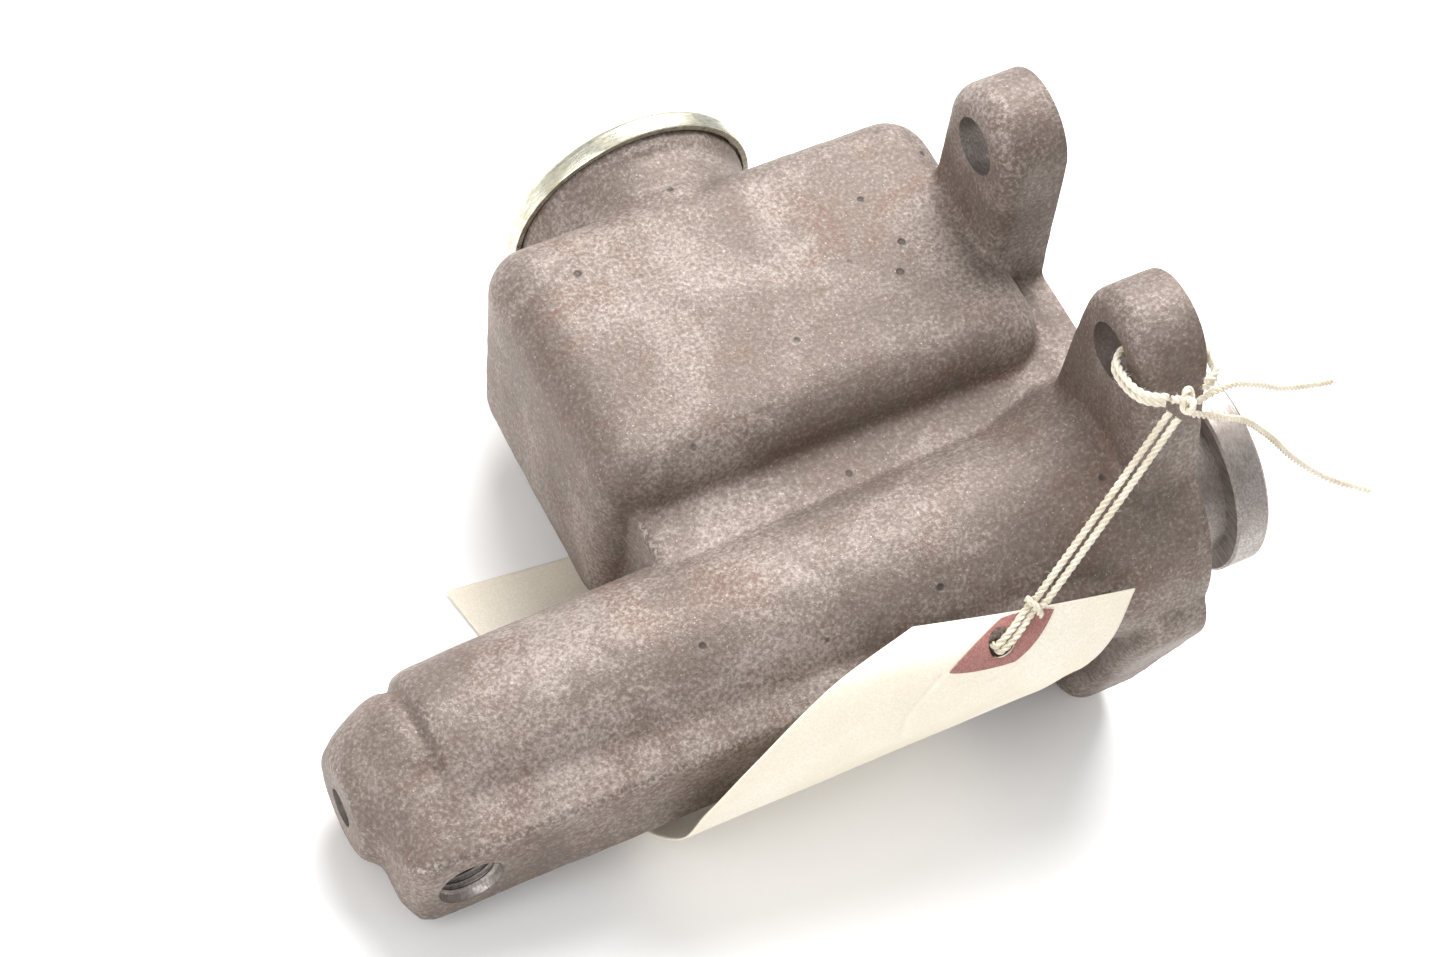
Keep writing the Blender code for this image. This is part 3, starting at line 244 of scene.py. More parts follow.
class Wiring:
    def __init__(self, tree):
        self.tree = tree

    def put(self, kind, inputs=None, **settings):
        node = self.tree.nodes.new("ShaderNode" + kind)
        for word, value in settings.items():
            setattr(node, word, value)
        for word, value in (inputs or {}).items():
            socket = node.inputs[word]
            if isinstance(value, bpy.types.NodeSocket):
                self.tree.links.new(value, socket)
            else:
                socket.default_value = value
        return node

    def sum(self, kind, a, b=0.5, c=0.5, clamp=False):
        node = self.put("Math", {0: a, 1: b, 2: c}, operation=kind, use_clamp=clamp)
        return node.outputs[0]

    def noise(self, place, scale, detail=3.0, rough=0.6, warp=0.0):
        return self.put("TexNoise", {"Vector": place, "Scale": scale, "Detail": detail, "Roughness": rough,
                                     "Distortion": warp}).outputs["Fac"]

    def ramp(self, value, low, high, fromValue=0.0, toValue=1.0):
        node = self.put("MapRange", {"Value": value, "From Min": low, "From Max": high, "To Min": fromValue,
                                     "To Max": toValue}, interpolation_type="SMOOTHSTEP")
        return node.outputs["Result"]

    def blend(self, factor, a, b, kind="MIX"):
        node = self.put("Mix", data_type="RGBA", blend_type=kind)
        for index, value in ((0, factor), (6, a), (7, b)):
            if isinstance(value, bpy.types.NodeSocket):
                self.tree.links.new(value, node.inputs[index])
            else:
                node.inputs[index].default_value = value
        return node.outputs[2]


def castSkinGroup():  # sand-cast surface: grain, bright points, broad patches and a height
    group, taken, given = newGroup(
        "castSkin", [("Place", None), ("Grain Scale", 900.0), ("Patch Scale", 40.0), ("Pit Scale", 160.0)],
        [(word, "Float") for word in ("Grain", "Sparkle", "Patch", "Pit", "Height")])
    w = Wiring(group)
    place, grainScale = taken.outputs["Place"], taken.outputs["Grain Scale"]
    grain = w.noise(place, grainScale, 3.0, 0.65)
    fine = w.noise(place, w.sum("MULTIPLY", grainScale, 2.3), 2.0, 0.6)
    cellScale = w.sum("MULTIPLY", grainScale, 1.5)
    cells = w.put("TexVoronoi", {"Vector": place, "Scale": cellScale}, feature="F1")
    lucky = w.put("SeparateColor", {"Color": cells.outputs["Color"]}).outputs[0]
    core = w.ramp(cells.outputs["Distance"], 0.45, 0.15)
    sparkle = w.sum("MULTIPLY", w.ramp(lucky, 0.86, 1.0), core)
    broad = w.noise(place, taken.outputs["Patch Scale"], 4.0, 0.62, 0.6)
    pits = w.put("TexVoronoi", {"Vector": place, "Scale": taken.outputs["Pit Scale"]}, feature="F1")
    rare = w.ramp(w.put("SeparateColor", {"Color": pits.outputs["Color"]}).outputs[1], 0.90, 0.94)
    pit = w.sum("MULTIPLY", w.ramp(pits.outputs["Distance"], 0.16, 0.07), rare)
    lumps = w.noise(place, w.sum("MULTIPLY", grainScale, 0.33), 2.0, 0.5)
    height = w.sum("ADD", w.sum("MULTIPLY", grain, 0.55), w.sum("MULTIPLY", fine, 0.3))
    height = w.sum("ADD", height, w.sum("MULTIPLY", lumps, 0.45))
    height = w.sum("SUBTRACT", height, w.sum("MULTIPLY", pit, 1.4))
    for word, value in (("Grain", grain), ("Sparkle", sparkle), ("Patch", w.ramp(broad, 0.36, 0.66)),
                        ("Pit", pit), ("Height", height)):
        group.links.new(value, given.inputs[word])
    return group


def lineMarksGroup():  # fine parallel tool marks across one direction
    group, taken, given = newGroup("lineMarks", [("Place", None), ("Spread", 1.0)], [("Marks", "Float")])
    w = Wiring(group)
    streaks = w.noise(taken.outputs["Place"], taken.outputs["Spread"], 5.0, 0.7)
    group.links.new(w.ramp(streaks, 0.3, 0.7), given.inputs["Marks"])
    return group


def fiberGroup():  # short soft fibres and slow colour drift, for string and card
    group, taken, given = newGroup(
        "fibers", [("Place", None), ("Fiber Scale", 2500.0), ("Drift Scale", 60.0)],
        [("Fiber", "Float"), ("Drift", "Float")])
    w = Wiring(group)
    fiber = w.noise(taken.outputs["Place"], taken.outputs["Fiber Scale"], 3.0, 0.7, 0.4)
    drift = w.noise(taken.outputs["Place"], taken.outputs["Drift Scale"], 3.0, 0.5)
    group.links.new(w.ramp(fiber, 0.3, 0.7), given.inputs["Fiber"])
    group.links.new(w.ramp(drift, 0.35, 0.65), given.inputs["Drift"])
    return group


castSkin = castSkinGroup()
lineMarks = lineMarksGroup()
fibers = fiberGroup()


def newMaterial(name):
    paint = bpy.data.materials.new(name)
    paint.use_nodes = True
    w = Wiring(paint.node_tree)
    shader = paint.node_tree.nodes["Principled BSDF"]
    place = w.put("TexCoord").outputs["Object"]
    return paint, w, shader, place


def placeGroup(w, group, **values):
    node = w.put("Group", node_tree=group)
    for word, value in values.items():
        socket = node.inputs[word.replace("_", " ")]
        if isinstance(value, bpy.types.NodeSocket):
            w.tree.links.new(value, socket)
        else:
            socket.default_value = value
    return node.outputs


def wireShader(w, shader, color, roughness, metallic, height, strength, depth):
    for word, value in (("Base Color", color), ("Roughness", roughness), ("Metallic", metallic)):
        if isinstance(value, bpy.types.NodeSocket):
            w.tree.links.new(value, shader.inputs[word])
        else:
            shader.inputs[word].default_value = value
    bump = w.put("Bump", {"Height": height, "Strength": strength, "Distance": depth})
    w.tree.links.new(bump.outputs["Normal"], shader.inputs["Normal"])


# iron

iron = dict(
    dark=(0.130, 0.098, 0.080, 1), mid=(0.300, 0.248, 0.218, 1), pale=(0.440, 0.385, 0.350, 1),
    rust=(0.150, 0.070, 0.045, 1), bright=(0.66, 0.61, 0.57, 1), pitShade=(0.045, 0.038, 0.036, 1),
    grainScale=1250.0, patchScale=38.0, metallic=0.35, roughness=0.58, bump=0.55, bumpDepth=0.00045,
)


def ironMaterial():
    paint, w, shader, place = newMaterial("cast_iron")
    skin = placeGroup(w, castSkin, Place=place, Grain_Scale=iron["grainScale"],
                      Patch_Scale=iron["patchScale"])
    wear = w.put("Attribute", attribute_name="wear").outputs["Fac"]
    valley = w.put("Attribute", attribute_name="valley").outputs["Fac"]
    tone = w.sum("ADD", w.sum("MULTIPLY", skin["Grain"], 0.9), w.sum("MULTIPLY", skin["Patch"], 0.2))
    color = w.blend(w.ramp(tone, 0.28, 0.95), iron["dark"], iron["mid"])
    color = w.blend(w.sum("MULTIPLY", w.ramp(tone, 0.5, 1.05), 0.8), color, iron["pale"])
    rusty = w.sum("MULTIPLY", w.ramp(w.noise(place, 55.0, 5.0, 0.7, 0.8), 0.47, 0.72), 0.55)
    rusty = w.sum("ADD", rusty, w.sum("MULTIPLY", valley, 0.55), clamp=True)
    color = w.blend(w.sum("MULTIPLY", rusty, w.ramp(skin["Grain"], 0.75, 0.35)), color, iron["rust"])
    # painted shade: the hollows are darkened towards the dark iron colour
    color = w.blend(w.sum("MULTIPLY", valley, 0.35), color, iron["dark"])
    rubbed = w.sum("MULTIPLY", wear, w.ramp(skin["Grain"], 0.42, 0.66))
    glint = w.sum("MULTIPLY", skin["Sparkle"], 0.35)
    shiny = w.sum("ADD", glint, w.sum("MULTIPLY", rubbed, 0.85), clamp=True)
    color = w.blend(shiny, color, iron["bright"])
    # painted shade: the pits are darkened to near black
    color = w.blend(w.sum("MULTIPLY", skin["Pit"], 0.85), color, iron["pitShade"])
    rough = w.sum("SUBTRACT", iron["roughness"], w.sum("MULTIPLY", shiny, 0.22))
    metal = w.sum("ADD", iron["metallic"], w.sum("MULTIPLY", shiny, 0.45), clamp=True)
    wireShader(w, shader, color, rough, metal, skin["Height"], iron["bump"], iron["bumpDepth"])
    return paint


machined = dict(
    dark=(0.235, 0.205, 0.19, 1), pale=(0.47, 0.43, 0.41, 1), stain=(0.17, 0.125, 0.105, 1),
    metallic=0.8, marksAlong=300.0, marksAcross=2600.0,
)


def machinedIronMaterial():
    paint, w, shader, place = newMaterial("machined_iron")
    stretch = (machined["marksAcross"], machined["marksAlong"], machined["marksAcross"])
    fine = w.put("Mapping", {"Vector": place, "Scale": stretch}).outputs[0]
    marks = placeGroup(w, lineMarks, Place=fine, Spread=1.0)["Marks"]
    drift = w.ramp(w.noise(place, 140.0, 4.0, 0.6), 0.35, 0.7)
    color = w.blend(marks, machined["dark"], machined["pale"])
    color = w.blend(w.sum("MULTIPLY", drift, 0.55), color, machined["stain"])
    rough = w.ramp(marks, 0.0, 1.0, 0.5, 0.33)
    wireShader(w, shader, color, rough, machined["metallic"], marks, 0.25, 0.0001)
    return paint


casting = dict(
    noseFace=10.4, barrelFront=19.3, barrelMid=21.0, barrelRear=23.5,
    keelDepth=23.7, keelHalf=11.0, keelRoot=16.5, keelFront=3.4,
    outletX=15.7, outletRadius=6.0, threadPitch=1.27, threadDepth=0.6, threadTurns=7,
    flangeFront=158.0, flangeRear=172.0, boss=26.5,
    grooveEnd=181.4, grooveRadius=17.3, mouth=188.9, collar=21.6,
    tankFront=66.3, tankRear=164.0, tankFloor=26.5, tankTop=89.0, tankHalf=27.0, tankBall=9.5, wall=4.5,
    webHalf=15.5, coverX=108.2, neckTop=101.2, neckOuter=25.4, neckBore=20.0, postRadius=7.0, postTop=98.0,
    boltRadius=4.2, boltEnd=78.7,
    earZ=48.7, highEarY=57.8, lowEarY=5.3, earRadius=12.0, earHole=6.0, padShift=10.5,
    bore=12.7, boreFront=24.0, chamber=8.2, chamberFront=9.0, nosePort=3.8, mouthChamfer=1.2,
    voxel=0.75, softPasses=11,
    dents=[((70.5, 46, -5), 5.0, 0.9), ((67.5, 66, 4), 4.0, 0.5),  # spot, reach, depth
           ((98, 57, 27), 3.0, 0.25), ((112, 40, 27), 2.4, 0.2)],
    smallDents=14, smallDentDepth=0.25,
)


def earHull(bm, y, z, root, extra=()):
    c = casting
    points = []
    for ey, ez, er in [(y, z, c["earRadius"]), *extra]:
        points += discPoints(c["flangeFront"] + 0.3, ey, ez, er - 3.2)
        points += discPoints(c["flangeFront"] + 1.2, ey, ez, er - 1.2)
        points += discPoints(c["flangeFront"] + 3.4, ey, ez, er)
        points += discPoints(c["flangeRear"] + 1.5, ey, ez, er)
    for ry, rz, rr in root:
        points += discPoints(c["flangeFront"] + 1.0, ry, rz, rr - 2.0)
        points += discPoints(c["flangeFront"] + 3.4, ry, rz, rr)
        points += discPoints(c["flangeRear"] + 1.5, ry, rz, rr)
    addHull(bm, points)


def addBarrel(bm):  # stepped nose, tapered barrel and the thick end at the flange
    c = casting
    end = c["flangeRear"] + 1.5
    addTurned(bm, [(0, 0), (0, c["noseFace"] - 0.4), (1.5, c["noseFace"] + 0.9), (3.6, 13.0), (6.5, 14.6),
                   (10.2, 16.3), (12.9, 17.1), (14.4, 17.1), (15.8, 16.3), (16.6, 16.9), (17.6, 18.9),
                   (20.0, c["barrelFront"] + 0.2), (40, 20.2), (88, c["barrelMid"] + 0.2),
                   (130, 22.3), (end, c["barrelRear"]), (end, 0)])
    addTurned(bm, [(134, 0), (134, 20), (150, c["boss"] - 2.2), (c["flangeFront"], c["boss"]),
                   (end, c["boss"]), (end, 0)])


def addKeel(bm):
    c = casting
    sections = [(c["keelFront"] - 0.2, 5.5, 10.0), (c["keelFront"] + 0.2, 7.8, 19.0), (6.0, 10.4, 22.6)]
    sections += [(x, c["keelHalf"], c["keelDepth"]) for x in (8.6, 150.0, 165.0)]
    keel = []
    for x, half, deep in sections:
        root = min(c["keelRoot"], half + 4.5)
        keel += [(x, -deep, half), (x, -deep, -half), (x + 2.0, -8.0, root), (x + 2.0, -8.0, -root)]
    addHull(bm, keel)


def addTank(bm):  # reservoir, the web down to the barrel and the filler neck
    c = casting
    ball = c["tankBall"]
    tank = []
    for x in (c["tankFront"] + ball, c["tankRear"] - ball):
        for y in (c["tankFloor"] + ball, c["tankTop"] - ball):
            for z in (c["tankHalf"] - ball, ball - c["tankHalf"]):
                tank += ballPoints((x, y, z), ball)
    swell = c["tankHalf"] + 0.5  # the walls bulge a little
    tank += [(c["tankFront"] - 0.8, 58.0, 0), (115.0, 58.0, swell), (115.0, 58.0, -swell)]
    addHull(bm, tank)
    addHull(bm, boxPoints((c["tankFront"] + 5.5, 0, -c["webHalf"]),
                          (c["flangeFront"] + 3, c["tankFloor"] + 12, c["webHalf"])))
    neck = [(c["tankTop"] - 4, 0), (c["tankTop"] - 4, c["neckOuter"] + 0.4),
            (c["tankTop"], c["neckOuter"] - 1.0), (c["neckTop"] - 4, c["neckOuter"] - 1.6),
            (c["neckTop"] - 1.8, c["neckOuter"] - 0.2), (c["neckTop"] + 1.2, c["neckOuter"] - 0.2),
            (c["neckTop"] + 1.2, 0)]
    addTurned(bm, neck, way="Y", centre=(c["coverX"], 0, 0))


def addFlange(bm):  # the web between the ears, and four ears, the far low one with a longer pad
    c = casting
    addHull(bm, boxPoints((c["flangeFront"] + 1.4, 0, -c["webHalf"]),
                          (c["flangeRear"] + 1.5, c["highEarY"] + c["earRadius"], c["webHalf"])))
    for side in (1, -1):
        z = side * c["earZ"]
        earHull(bm, c["highEarY"], z, [(c["highEarY"], 0.28 * z, c["earRadius"] + 1)])
        roots = [(0.6 * c["lowEarY"], 0.37 * z, 0.64 * c["boss"])]
        pads = []
        if side < 0:
            roots.append((-0.74 * c["boss"], -0.34 * c["boss"], 0.37 * c["boss"]))
            pads.append((c["lowEarY"] - c["padShift"], z, c["earRadius"]))
        earHull(bm, c["lowEarY"], z, roots, pads)


def castBodyMesh():  # everything that came out of the sand mould, blended into one skin
    c = casting
    bm = bmesh.new()
    for addPart in (addBarrel, addKeel, addTank, addFlange):
        addPart(bm)
    raw = tempObject(meshOf(bm, "raw_casting"))
    skin = raw.modifiers.new("skin", "REMESH")
    skin.mode = "VOXEL"
    skin.voxel_size = c["voxel"] * mm
    soft = raw.modifiers.new("soften", "SMOOTH")
    soft.factor = 0.5
    soft.iterations = c["softPasses"]
    return evaluated(raw)


def meshArrays(mesh):
    spots = np.empty(len(mesh.vertices) * 3)
    mesh.vertices.foreach_get("co", spots)
    edges = np.empty(len(mesh.edges) * 2, dtype=np.int64)
    mesh.edges.foreach_get("vertices", edges)
    normals = np.empty(len(mesh.vertices) * 3)
    mesh.vertices.foreach_get("normal", normals)
    return spots.reshape(-1, 3), edges.reshape(-1, 2), normals.reshape(-1, 3)


def markRelief(mesh):  # wear on proud edges, and a hollow mask that carries rust and painted shade
    spots, edges, normals = meshArrays(mesh)
    count = np.bincount(edges.ravel(), minlength=len(spots)).astype(float)
    calm = spots.copy()
    relief = {}
    for step in range(1, 41):
        total = np.zeros_like(calm)
        for axis in range(3):
            total[:, axis] = np.bincount(edges[:, 0], calm[edges[:, 1], axis], len(spots)) \
                + np.bincount(edges[:, 1], calm[edges[:, 0], axis], len(spots))
        calm = 0.5 * calm + 0.5 * total / np.maximum(count, 1)[:, None]
        if step in (10, 40):
            relief[step] = ((spots - calm) * normals).sum(1) / mm
    for name, values in (("wear", np.clip((relief[10] - 0.10) / 0.40, 0, 1)),
                         ("valley", np.clip((-relief[40] - 0.30) / 1.3, 0, 1))):
        layer = mesh.attributes.new(name, "FLOAT", "POINT")
        layer.data.foreach_set("value", values.astype(np.float32))


def roughenCasting(mesh):  # slow unevenness of a hand-rammed mould, and a few dents
    rng = np.random.default_rng(7)
    dents = list(casting["dents"])
    for k in range(casting["smallDents"]):
        spot = (rng.uniform(20, 150), rng.uniform(-18, 20), 21)
        dents.append((spot, rng.uniform(1.0, 2.2), casting["smallDentDepth"]))
    spots, _, normals = meshArrays(mesh)
    places = spots / mm
    push = np.array([0.22 * noise.noise(p / 16) + 0.12 * noise.noise(p / 5.5 + Vector((9, 4, 2)))
                     + 0.05 * noise.noise(p / 2.0 + Vector((3, 8, 5))) for p in map(Vector, places)])
    for spot, reach, deep in dents:
        far = np.linalg.norm(places - np.array(spot), axis=1)
        push -= deep * np.exp(-(far / reach) ** 2)
    spots += normals * push[:, None] * mm
    mesh.vertices.foreach_set("co", spots.ravel())
    mesh.update()


def holesMesh():  # everything that is drilled, bored or faced after casting
    c = casting
    past = 4.0
    bm = bmesh.new()
    addTurned(bm, [(-past, 0), (-past, c["nosePort"]), (c["chamberFront"], c["nosePort"]),
                   (c["chamberFront"], c["chamber"]), (c["boreFront"], c["chamber"]),
                   (c["boreFront"], c["bore"]), (c["flangeRear"] + 1, c["bore"]), (c["flangeRear"] + 1, 0)])
    for y, z in [(y, z) for y in (c["highEarY"], c["lowEarY"]) for z in (c["earZ"], -c["earZ"])]:
        addTurned(bm, [(c["flangeFront"] - past, 0), (c["flangeFront"] - past, c["earHole"]),
                       (c["flangeRear"] + past, c["earHole"]), (c["flangeRear"] + past, 0)],
                  48, centre=(0, y, z))
    return meshOf(bm, "holes")


def sideHolesMesh():
    c = casting
    bm = bmesh.new()
    outlet = (c["outletX"], 0, 0)
    deep, wide = -c["keelDepth"], c["outletRadius"] + 0.5
    addTurned(bm, [(deep - 4, 0), (deep - 4, wide), (deep + 0.2, wide), (deep + 0.9, c["outletRadius"]),
                   (-0.5 * c["chamber"], c["outletRadius"]), (-0.5 * c["chamber"], 0)], 64, "Y", outlet)
    cover = (c["coverX"], 0, 0)
    addTurned(bm, [(c["tankTop"] - 9, 0), (c["tankTop"] - 9, c["neckBore"]),
                   (c["neckTop"] + 3, c["neckBore"]), (c["neckTop"] + 3, 0)], 96, "Y", cover)
    return meshOf(bm, "side_holes")


def slabMesh():  # what a cutter takes off: the flange's rear and the neck's top
    c = casting
    bm = bmesh.new()
    addHull(bm, boxPoints((c["flangeRear"], -60, -80), (c["flangeRear"] + 20, 100, 80)))
    addHull(bm, boxPoints((60, c["neckTop"], -40), (150, c["neckTop"] + 10, 40)))
    return meshOf(bm, "slab")


def cutAway(mesh, toolMesh):
    piece = tempObject(mesh)
    tool = tempObject(toolMesh)
    cut = piece.modifiers.new("cut", "BOOLEAN")
    cut.operation = "DIFFERENCE"
    cut.solver = "MANIFOLD"
    cut.object = tool
    done = evaluated(piece)
    bpy.data.objects.remove(tool)
    bpy.data.meshes.remove(toolMesh)
    return done


def tankHollowMesh():
    c = casting
    bm = bmesh.new()
    ball = c["tankBall"] - c["wall"]
    low, high = c["tankFloor"] + c["wall"] + ball, c["tankTop"] - c["wall"] - ball
    points = []
    for x in (c["tankFront"] + c["wall"] + ball, c["tankRear"] - c["wall"] - ball):
        for y in (low, high):
            for z in (c["tankHalf"] - c["wall"] - ball, ball + c["wall"] - c["tankHalf"]):
                points += ballPoints((x, y, z), ball, count=6)
    addHull(bm, points)
    return meshOf(bm, "tank_hollow")


def outletThread(bm):  # rings, not a helix
    c = casting
    wide, deep = c["outletRadius"] + 0.1, c["outletRadius"] - c["threadDepth"]
    rings = []
    for k in range(c["threadTurns"]):
        level = -c["keelDepth"] + 1.3 + k * c["threadPitch"]
        rings += [(level, wide), (level + 0.5 * c["threadPitch"], deep)]
    end = rings[-1][0] + 0.5
    rings += [(end, wide), (end, wide + 0.5), (rings[0][0], wide + 0.5)]
    addTurned(bm, rings, 64, "Y", (c["outletX"], 0, 0))


def machinedEnds():  # centre post, boot collar and outlet thread
    c = casting
    bm = bmesh.new()
    post = [(c["tankFloor"] + 2, 0), (c["tankFloor"] + 2, c["postRadius"]), (c["postTop"], c["postRadius"]),
            (c["postTop"], c["boltRadius"]), (c["boltEnd"], c["boltRadius"]), (c["boltEnd"], 0)]
    addTurned(bm, post, 48, "Y", (c["coverX"], 0, 0))
    collar = [(c["flangeRear"] - 1, c["bore"]), (c["flangeRear"] - 1, c["grooveRadius"]),
              (c["grooveEnd"], c["grooveRadius"]), (c["grooveEnd"], c["collar"] - 0.5),
              (c["grooveEnd"] + 0.5, c["collar"]), (c["mouth"] - 0.7, c["collar"]),
              (c["mouth"], c["collar"] - 0.7), (c["mouth"], c["bore"] + c["mouthChamfer"]),
              (c["mouth"] - c["mouthChamfer"], c["bore"])]
    addTurned(bm, collar, 128)
    outletThread(bm)
    return bm


def buildCasting(ironPaint, machinedPaint):
    mesh = castBodyMesh()
    print("cast skin:", len(mesh.polygons), "faces")
    roughenCasting(mesh)
    markRelief(mesh)
    hollow = tankHollowMesh()
    tools = [holesMesh(), slabMesh(), hollow, sideHolesMesh()]
    trees = []
    for tool in tools:
        if tool is not hollow:  # the hollow is cored in the mould, the rest is cut
            bm = bmesh.new()
            bm.from_mesh(tool)
            trees.append(BVHTree.FromBMesh(bm))
            bm.free()
    for tool in tools:
        mesh = cutAway(mesh, tool)
    near = 0.02 * mm
    cutFaces = [int(any(tree.find_nearest(face.center, near)[0] is not None for tree in trees))
                for face in mesh.polygons]
    whole = bmesh.new()
    whole.from_mesh(mesh)
    mergeInto(whole, machinedEnds())
    done = meshOf(whole, "iron_casting")
    addPiece("iron_casting", done, [ironPaint, machinedPaint], "housing", 38, ["body_casting"])
    index = np.ones(len(done.polygons), dtype=np.int32)
    index[:len(cutFaces)] = cutFaces
    done.polygons.foreach_set("material_index", index)


# metal, rubber and board of the fitted pieces

def metalMaterial(name, dark, pale, roughness):
    paint, w, shader, place = newMaterial(name)
    stretched = w.put("Mapping", {"Vector": place, "Scale": (900.0, 900.0, 900.0)}).outputs[0]
    marks = placeGroup(w, lineMarks, Place=stretched, Spread=1.0)["Marks"]
    drift = w.ramp(w.noise(place, 120.0, 4.0, 0.6), 0.35, 0.7)
    tone = w.sum("ADD", w.sum("MULTIPLY", marks, 0.6), w.sum("MULTIPLY", drift, 0.4))
    rough = w.ramp(drift, 0.0, 1.0, roughness + 0.08, roughness - 0.05)
    wireShader(w, shader, w.blend(tone, dark, pale), rough, 1.0, marks, 0.12, 0.00005)
    return paint


def softMaterial(name, dark, pale, scale, roughness):
    paint, w, shader, place = newMaterial(name)
    soft = placeGroup(w, fibers, Place=place, Fiber_Scale=scale, Drift_Scale=90.0)
    tone = w.sum("ADD", w.sum("MULTIPLY", soft["Fiber"], 0.5), w.sum("MULTIPLY", soft["Drift"], 0.5))
    rough = w.ramp(soft["Fiber"], 0, 1, roughness, roughness - 0.1)
    wireShader(w, shader, w.blend(tone, dark, pale), rough, 0.0, soft["Fiber"], 0.2, 0.0001)
    return paint


metals = dict(  # dark, pale, roughness, who wears it
    turned_steel=((0.42, 0.42, 0.43, 1), (0.62, 0.62, 0.63, 1), 0.30,
                  ("bolt_washer", "cup_washer", "spring_retainer", "stop_plate", "cover_bolt")),
    spring_steel=((0.13, 0.135, 0.15, 1), (0.30, 0.31, 0.33, 1), 0.34, ("return_spring", "snap_ring")),
    valve_brass=((0.48, 0.33, 0.13, 1), (0.76, 0.57, 0.28, 1), 0.28, ("check_valve_body",)),
    piston_alloy=((0.52, 0.52, 0.54, 1), (0.76, 0.76, 0.78, 1), 0.26, ("piston",)),
)
softs = dict(  # dark, pale, fibre scale, roughness, who wears it
    brake_rubber=((0.018, 0.018, 0.019, 1), (0.045, 0.044, 0.045, 1), 1500.0, 0.62,
                  ("check_valve_seat", "check_valve_cup", "primary_cup", "secondary_cup")),
    gasket_board=((0.22, 0.13, 0.08, 1), (0.38, 0.25, 0.15, 1), 1800.0, 0.85, ("cover_gasket",)),
)


def dressFittedPieces():
    for kinds, makePaint in ((metals, metalMaterial), (softs, softMaterial)):
        for name, (*looks, wearers) in kinds.items():
            paint = makePaint(name, *looks)
            for wearer in wearers:
                node = frame["nodes"][wearer]
                for holder in node.material_slots:
                    holder.material = paint
                if not node.material_slots:
                    node.data.materials.append(paint)


# pressed cover with a rolled bead

cover = dict(
    top=104.0, dish=103.1, plate=0.9, hole=4.4,
    bead=1.85, beadRadius=25.35, beadTop=103.75, beadSteps=14,
    skirtEnd=100.7, skirtInner=25.75, skirtOuter=27.05, smoothAngle=50,
    dark=(0.42, 0.41, 0.33, 1), pale=(0.80, 0.79, 0.68, 1), haze=(0.36, 0.31, 0.20, 1),
)


def buildCover():
    c = cover
    top, dish = c["top"], c["dish"]
    under = top - c["plate"]
    outline = [(under, c["hole"]), (top, c["hole"]), (top, 11.5), (top - 0.25, 12.6), (dish + 0.1, 13.8),
               (dish, 15.0), (dish, 20.4), (dish + 0.2, 21.6), (dish + 0.75, 22.7)]
    for k in range(c["beadSteps"] + 1):  # over the bead from its inner side to its outer side
        turn = math.pi * (0.86 - 1.0 * k / c["beadSteps"])
        level = c["beadTop"] + c["bead"] * math.sin(turn)
        outline.append((level, c["beadRadius"] + c["bead"] * math.cos(turn)))
    outline += [(c["skirtEnd"] + 0.3, c["skirtOuter"]), (c["skirtEnd"], c["skirtOuter"] - 0.2),
                (c["skirtEnd"], c["skirtInner"]), (dish - 0.1, c["skirtInner"] - 0.05), (dish - 0.1, 14.0),
                (under, 12.0)]
    bm = bmesh.new()
    addTurned(bm, outline, 160, "Y", (casting["coverX"], 0, 0))
    paint, w, shader, place = newMaterial("zinc_cover")
    spun = w.put("Mapping", {"Vector": place, "Scale": (500.0, 3000.0, 500.0)}).outputs[0]
    marks = placeGroup(w, lineMarks, Place=spun, Spread=1.0)["Marks"]
    haze = w.ramp(w.noise(place, 170.0, 5.0, 0.65, 0.5), 0.4, 0.68)
    color = w.blend(marks, c["dark"], c["pale"])
    color = w.blend(w.sum("MULTIPLY", haze, 0.5), color, c["haze"])
    wireShader(w, shader, color, w.ramp(haze, 0, 1, 0.24, 0.42), 0.9, marks, 0.15, 0.0001)
    mesh = meshOf(bm, "pressed_cover")
    addPiece("pressed_cover", mesh, paint, "cover", c["smoothAngle"], ["reservoir_cover"])


# card tag

tag = dict(
    rows=[((107.5, -18.4, 19.5), (153.7, -25.2, 12.0)), ((88.0, -23.5, 20.0), (148.6, -28.8, 3.0)),
          ((70.8, -28.9, 14.0), (143.8, -29.6, -2.5)), ((60.6, -30.4, 4.0), (140.5, -28.0, -8.0)),
          ((57.0, -27.0, -11.5), (137.5, -21.5, -25.0)), ((54.0, -14.5, -24.5), (133.5, -9.0, -42.0))],
    flatRows=[(51.0, 2.0, 128.0, 6.0, 1.6), (47.5, 22.0, 124.0, 26.0, 0.8), (42.2, 47.5, 118.5, 51.5, 0.8)],
    thickness=0.35, across=112, along=224, size=(79.4, 158.75),
    bulge=2.2, bulgeAt=0.8, bulgeReach=0.9, bulgeWay=(0, -0.75, 0.66), ripple=0.22,
    hole=(0.5, 0.6), holeRadius=3.0, holeInside=0.75, holeOutside=0.45,
    creases=[((0.385, 1.1), (0.42, 1.85), (0.526, 3.0)), ((0.664, 1.0), (0.63, 1.5))],
    creaseDepth=0.32, creaseReach=0.75, cell=(70, 19),  # a step across and along, roughly
    patch=((0.385, 0.645), (0.03, 1.14)), patchLift=0.36, patchThickness=0.18, patchSteps=44,
    patchRounding=0.28,
    card=((0.80, 0.73, 0.60, 1), (0.92, 0.87, 0.77, 1), (0.74, 0.64, 0.49, 1)),
    rose=((0.27, 0.115, 0.098, 1), (0.43, 0.21, 0.185, 1), (0.20, 0.08, 0.07, 1)),
)


